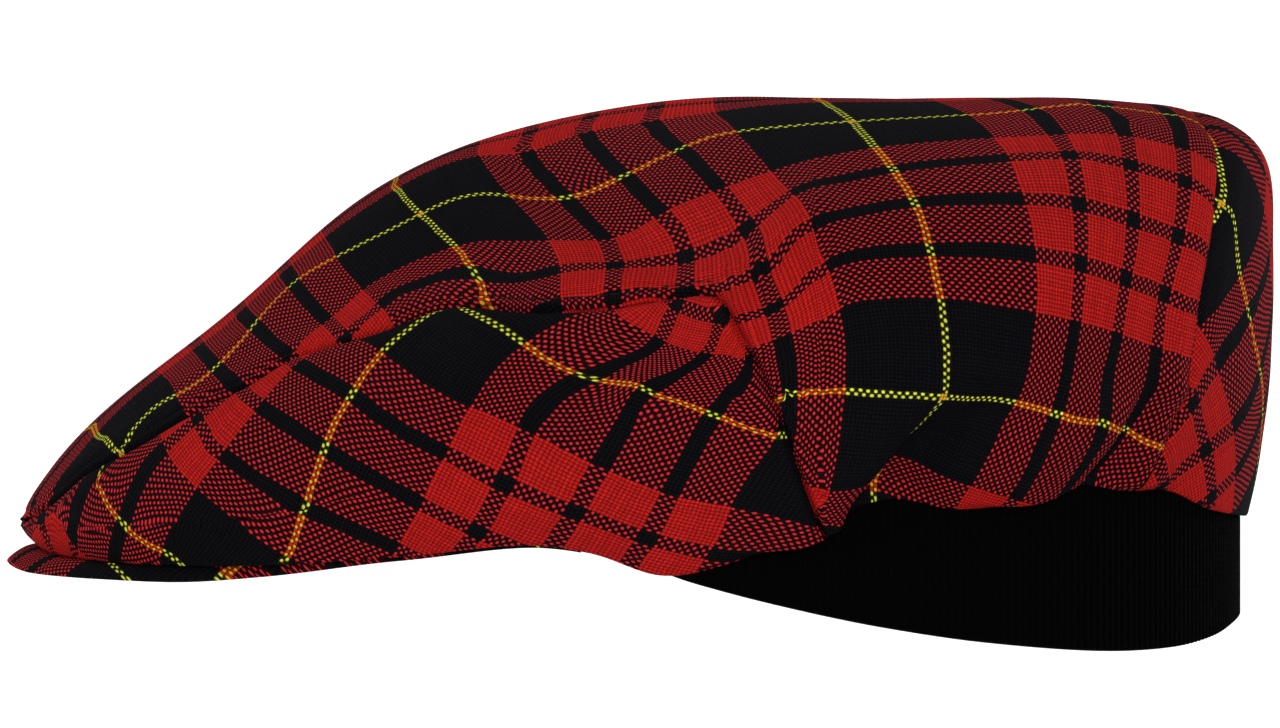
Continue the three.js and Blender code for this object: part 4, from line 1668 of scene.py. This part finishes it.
class Repeater(NodeTree):
    """A Geometry Nodes tree with named inputs, run once and turned into a plain mesh."""

    def __init__(self, name: str, inputs: dict[str, float]) -> None:
        """Opens the tree with a geometry input and the named sizes."""
        super().__init__(bpy.data.node_groups.new(name, "GeometryNodeTree"))
        face = self.tree.interface
        face.new_socket("Geometry", in_out="INPUT", socket_type="NodeSocketGeometry")
        self.values = {face.new_socket(key, in_out="INPUT", socket_type="NodeSocketFloat").identifier: value
                       for key, value in inputs.items()}
        face.new_socket("Geometry", in_out="OUTPUT", socket_type="NodeSocketGeometry")
        self.given = self.tree.nodes.new("NodeGroupInput").outputs

    def ball(self, radius: float) -> Socket:
        """A small ball to repeat."""
        return self.add("GeometryNodeMeshUVSphere", {"Segments": 10, "Rings": 6, "Radius": radius})

    def size(self, x: Socket, y: Socket, z: Socket) -> Socket:
        """A size from its three parts."""
        return self.add("ShaderNodeCombineXYZ", {0: x, 1: y, 2: z})

    def repeat(self, points: Socket, instance: Socket, scale: Socket, **more: Socket) -> Socket:
        """Repeats a shape on points, with a scale and any more named inputs."""
        return self.add("GeometryNodeInstanceOnPoints", {"Points": points, "Instance": instance,
                                                         "Scale": scale} | more)

    def run(self, geometry: Socket, material: bpy.types.Material, obj: bpy.types.Object) -> bpy.types.Object:
        """Ends the tree, runs it on an object and keeps the result as the object's plain mesh.

        Args:
            geometry: what the tree has made.
            material: its finish.
            obj: the object that the tree starts from.

        Returns:
            The object.
        """
        real = self.add("GeometryNodeRealizeInstances", {0: geometry})
        painted = self.add("GeometryNodeSetMaterial", {"Geometry": real, "Material": material})
        self.feed(self.tree.nodes.new("NodeGroupOutput").inputs[0], painted)
        modifier = obj.modifiers.new("repeat", "NODES")
        modifier.node_group = self.tree
        for identifier, value in self.values.items():
            modifier[identifier] = value
        bpy.context.view_layer.update()
        seen = obj.evaluated_get(bpy.context.evaluated_depsgraph_get())
        mesh = bpy.data.meshes.new_from_object(seen)
        obj.modifiers.clear()
        obj.data = mesh
        mesh.shade_smooth()
        count_triangles(obj)
        return obj


@dataclass
class EdgeStitches:
    """A line of stitching that follows a seam, a little above it."""

    crown: Crown
    unit: float
    spacing: float = 2.9
    length: float = 2.3
    thickness: float = 0.4
    start: float = 0.56
    end: float = 0.97

    def path(self) -> np.ndarray:
        """The line's points over the top panel on its near side, beside the rear of the front seam."""
        form, seam = self.crown.form, self.crown.front
        stops = seam[int(len(seam) * self.start):int(len(seam) * self.end)]
        place, out = form.smooth_place(*stops.T), form.normal(*stops.T)
        up = directions(np.cross(np.gradient(place, axis=0), out))
        up *= np.sign(up[:, 2] + up[:, 0])[:, None]
        lift = form.fold_lift(place, stops[:, 1] * form.length(stops[:, 0])) - SEAMS.stitch_depth
        return (place + up * SEAMS.stitch_offset + out * lift[:, None]) * MIRROR

    def build(self, material: bpy.types.Material) -> bpy.types.Object:
        """Makes the stitches on both sides as one piece.

        Args:
            material: the thread.

        Returns:
            The new object.
        """
        path = self.path()
        count = len(path)
        mesh = bpy.data.meshes.new("edge_stitches")
        edges = [(k, k + 1) for k in range(2 * count - 1) if k != count - 1]
        mesh.from_pydata((np.vstack([path, path * MIRROR]) * self.unit).tolist(), edges, [])
        sizes = {"Spacing": self.spacing, "Length": self.length, "Thickness": self.thickness}
        tool = Repeater("stitch run", {name: size * self.unit for name, size in sizes.items()})
        curve = tool.add("GeometryNodeMeshToCurve", {0: tool.given["Geometry"]})
        steps = tool.add("GeometryNodeResampleCurve", {"Curve": curve, "Length": tool.given["Spacing"]},
                         mode="LENGTH")
        tangent = tool.add("GeometryNodeInputTangent")
        turn = tool.add("FunctionNodeAlignRotationToVector", {"Vector": tangent}, axis="X")
        size = tool.size(tool.given["Length"], tool.given["Thickness"], tool.given["Thickness"])
        stitches = tool.repeat(steps, tool.ball(0.5), size, Rotation=turn)
        return tool.run(stitches, material, placed("edge_stitches", mesh))


@dataclass
class KnitWales:
    """The upright ribs of the ear flap."""

    flap: EarFlap
    unit: float
    foot_rise: float = 1.2      # in radii of a wale
    sunk: float = 0.35

    def build(self, material: bpy.types.Material) -> bpy.types.Object:
        """Makes every wale as one piece: an upright tube with a round foot.

        Args:
            material: the knit.

        Returns:
            The new object.
        """
        flap = self.flap
        count = int(travelled(flap.lines(flap.fine)[0])[-1] / flap.wale_pitch)
        place, out, low, high = flap.lines(count)
        foot = low + flap.wale_radius * self.foot_rise
        points = np.column_stack([place - out * flap.wale_radius * self.sunk, foot])
        mesh = bpy.data.meshes.new("ear_flap_wales")
        mesh.from_pydata((points * self.unit).tolist(), [], [])
        reach = mesh.attributes.new("reach", "FLOAT", "POINT")
        reach.data.foreach_set("value", (high - foot) * self.unit)
        tool = Repeater("knit wales", {"Radius": flap.wale_radius * self.unit})
        height = tool.add("GeometryNodeInputNamedAttribute", {"Name": "reach"}, data_type="FLOAT")
        wide, points = tool.given["Radius"], tool.given["Geometry"]
        tube = tool.add("GeometryNodeMeshCylinder", {"Vertices": 10, "Side Segments": 1, "Radius": 1.0,
                                                     "Depth": 1.0}, fill_type="NONE")
        raised = tool.add("GeometryNodeTransform", {"Geometry": tube, "Translation": (0.0, 0.0, 0.5)})
        tubes = tool.repeat(points, raised, tool.size(wide, wide, height))
        feet = tool.repeat(points, tool.ball(1.0), tool.size(wide, wide, wide))
        both = tool.add("GeometryNodeJoinGeometry", {0: tubes})
        tool.feed(both.node.inputs[0], feet)
        return tool.run(both, material, placed("ear_flap_wales", mesh))


# ---- the studio ----

@dataclass(frozen=True)
class Lamp:
    """A soft square light, placed from the middle of the cap in metres."""

    name: str
    place: tuple[float, float, float]
    size: float
    power: float
    on_backdrop: bool = False

    def hang(self, middle: Vector, aim: Vector) -> None:
        """Hangs the light.

        Args:
            middle: the middle of the cap.
            aim: where the light points.
        """
        data = bpy.data.lights.new(self.name, "AREA")
        data.shape, data.size, data.energy = "SQUARE", self.size, self.power
        obj = placed(self.name, data)
        obj.location = middle + Vector(self.place)
        obj.rotation_euler = (aim - obj.location).to_track_quat("-Z", "Y").to_euler()


@dataclass(frozen=True)
class Studio:
    """A pale sweep of floor and backdrop, soft light and the side view's camera. In metres."""

    floor_height: float = -0.16
    sweep_radius: float = 0.36
    sweep_steps: int = 16
    backdrop_depth: float = 1.6
    half_width: float = 14.0
    colour: Colour = linear(238, 238, 238)
    sky: float = 0.2
    clip_end: float = 100.0
    lamps: tuple[Lamp, ...] = (
        Lamp("key light", (0.45, -1.8, 0.25), 0.8, 17),
        Lamp("top light", (0.3, -0.6, 1.6), 1.0, 0.7),
        Lamp("fill light", (-1.5, -1.2, -0.1), 0.7, 9.5),
        Lamp("backdrop light", (-1.2, 0.7, 1.0), 1.2, 27, True),
        Lamp("backdrop light", (1.2, 0.7, 1.0), 1.2, 27, True),
    )

    def floor(self) -> None:
        """Makes the floor, which rises behind as a low backdrop that views from behind look over."""
        turn = np.linspace(0, math.pi / 2, self.sweep_steps + 1)
        bend = np.column_stack([self.backdrop_depth + self.sweep_radius * np.sin(turn),
                                self.floor_height + self.sweep_radius * (1 - np.cos(turn))])
        line = np.vstack([[-self.half_width, self.floor_height], bend])
        points = [(side * self.half_width, y, z) for y, z in line for side in (-1, 1)]
        faces = [(2 * k, 2 * k + 1, 2 * k + 3, 2 * k + 2) for k in range(len(line) - 1)]
        mesh = bpy.data.meshes.new("studio_floor")
        mesh.from_pydata(points, [], faces)
        mesh.materials.append(Plain("studio paper", self.colour).make())
        mesh.shade_smooth()
        obj = placed("studio_floor", mesh)
        obj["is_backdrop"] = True

    def lights(self, middle: Vector) -> None:
        """Lights the cap softly from the front and above, and the backdrop."""
        world = bpy.data.worlds.new("studio")
        world.use_nodes = True
        sky = world.node_tree.nodes["Background"]
        sky.inputs["Color"].default_value = (1.0, 1.0, 1.0, 1.0)
        sky.inputs["Strength"].default_value = self.sky
        bpy.context.scene.world = world
        backdrop = middle + Vector((0, self.backdrop_depth + self.sweep_radius, 0.2))
        for lamp in self.lamps:
            lamp.hang(middle, backdrop if lamp.on_backdrop else middle)

    def camera(self, unit: float) -> None:
        """Aims the camera as the side view says."""
        data = bpy.data.cameras.new("side camera")
        obj = placed("side camera", data)
        ahead = Vector((0, 1, 0))
        obj.location = Vector((VIEW.centre_x, 0, VIEW.centre_z)) * unit - ahead * VIEW.distance * unit
        obj.rotation_euler = ahead.to_track_quat("-Z", "Y").to_euler()
        data.lens = data.sensor_width * VIEW.distance / VIEW.width
        data.clip_end = self.clip_end
        bpy.context.scene.camera = obj


# ---- the whole cap ----

def corners(box: tuple[Vector, Vector]) -> list[list[float]]:
    """A box's lowest and highest corner as plain lists."""
    return [list(corner) for corner in box]


def dress(obj: bpy.types.Object, slot: str | None, *nodes: str) -> None:
    """Puts a piece on the cap's body, in place of its solids."""
    if nodes:
        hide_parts(*nodes)
    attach(obj, BODY)


def main() -> None:
    """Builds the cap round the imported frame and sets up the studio."""
    logging.basicConfig(level=logging.INFO, format="%(name)s: %(message)s", force=True)
    frame_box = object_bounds()
    unit = (frame_box[1].x - frame_box[0].x) / FORM_LENGTH
    LOG.info("scale: %.6f m for each millimetre of the form", unit)
    form = CrownForm()
    crown = Crown(form)
    workshop = Workshop(unit)
    tartan, knit = TartanCloth().make(), RibKnit().make()
    for name, shell in crown.build().items():
        dress(workshop.add(f"{name}_cloth", shell, tartan), "tartan_cloth", name)
    dress(workshop.add("peak_cover", Peak(form).build(), tartan), "tartan_cloth", "peak")
    flap = EarFlap(form)
    dress(workshop.add("ear_flap_band", flap.build(), knit), "rib_knit", "ear_flap")
    dress(KnitWales(flap, unit).build(knit), "rib_knit")
    thread = Plain("black thread", linear(16, 16, 18)).make()
    dress(EdgeStitches(crown, unit).build(thread), None)
    studio = Studio()
    studio.floor()
    studio.lights(Vector((VIEW.centre_x * unit, 0, VIEW.centre_z * unit)))
    studio.camera(unit)
    bpy.context.scene.view_settings.view_transform = "Standard"


if __name__ == "__main__":
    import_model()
    main()
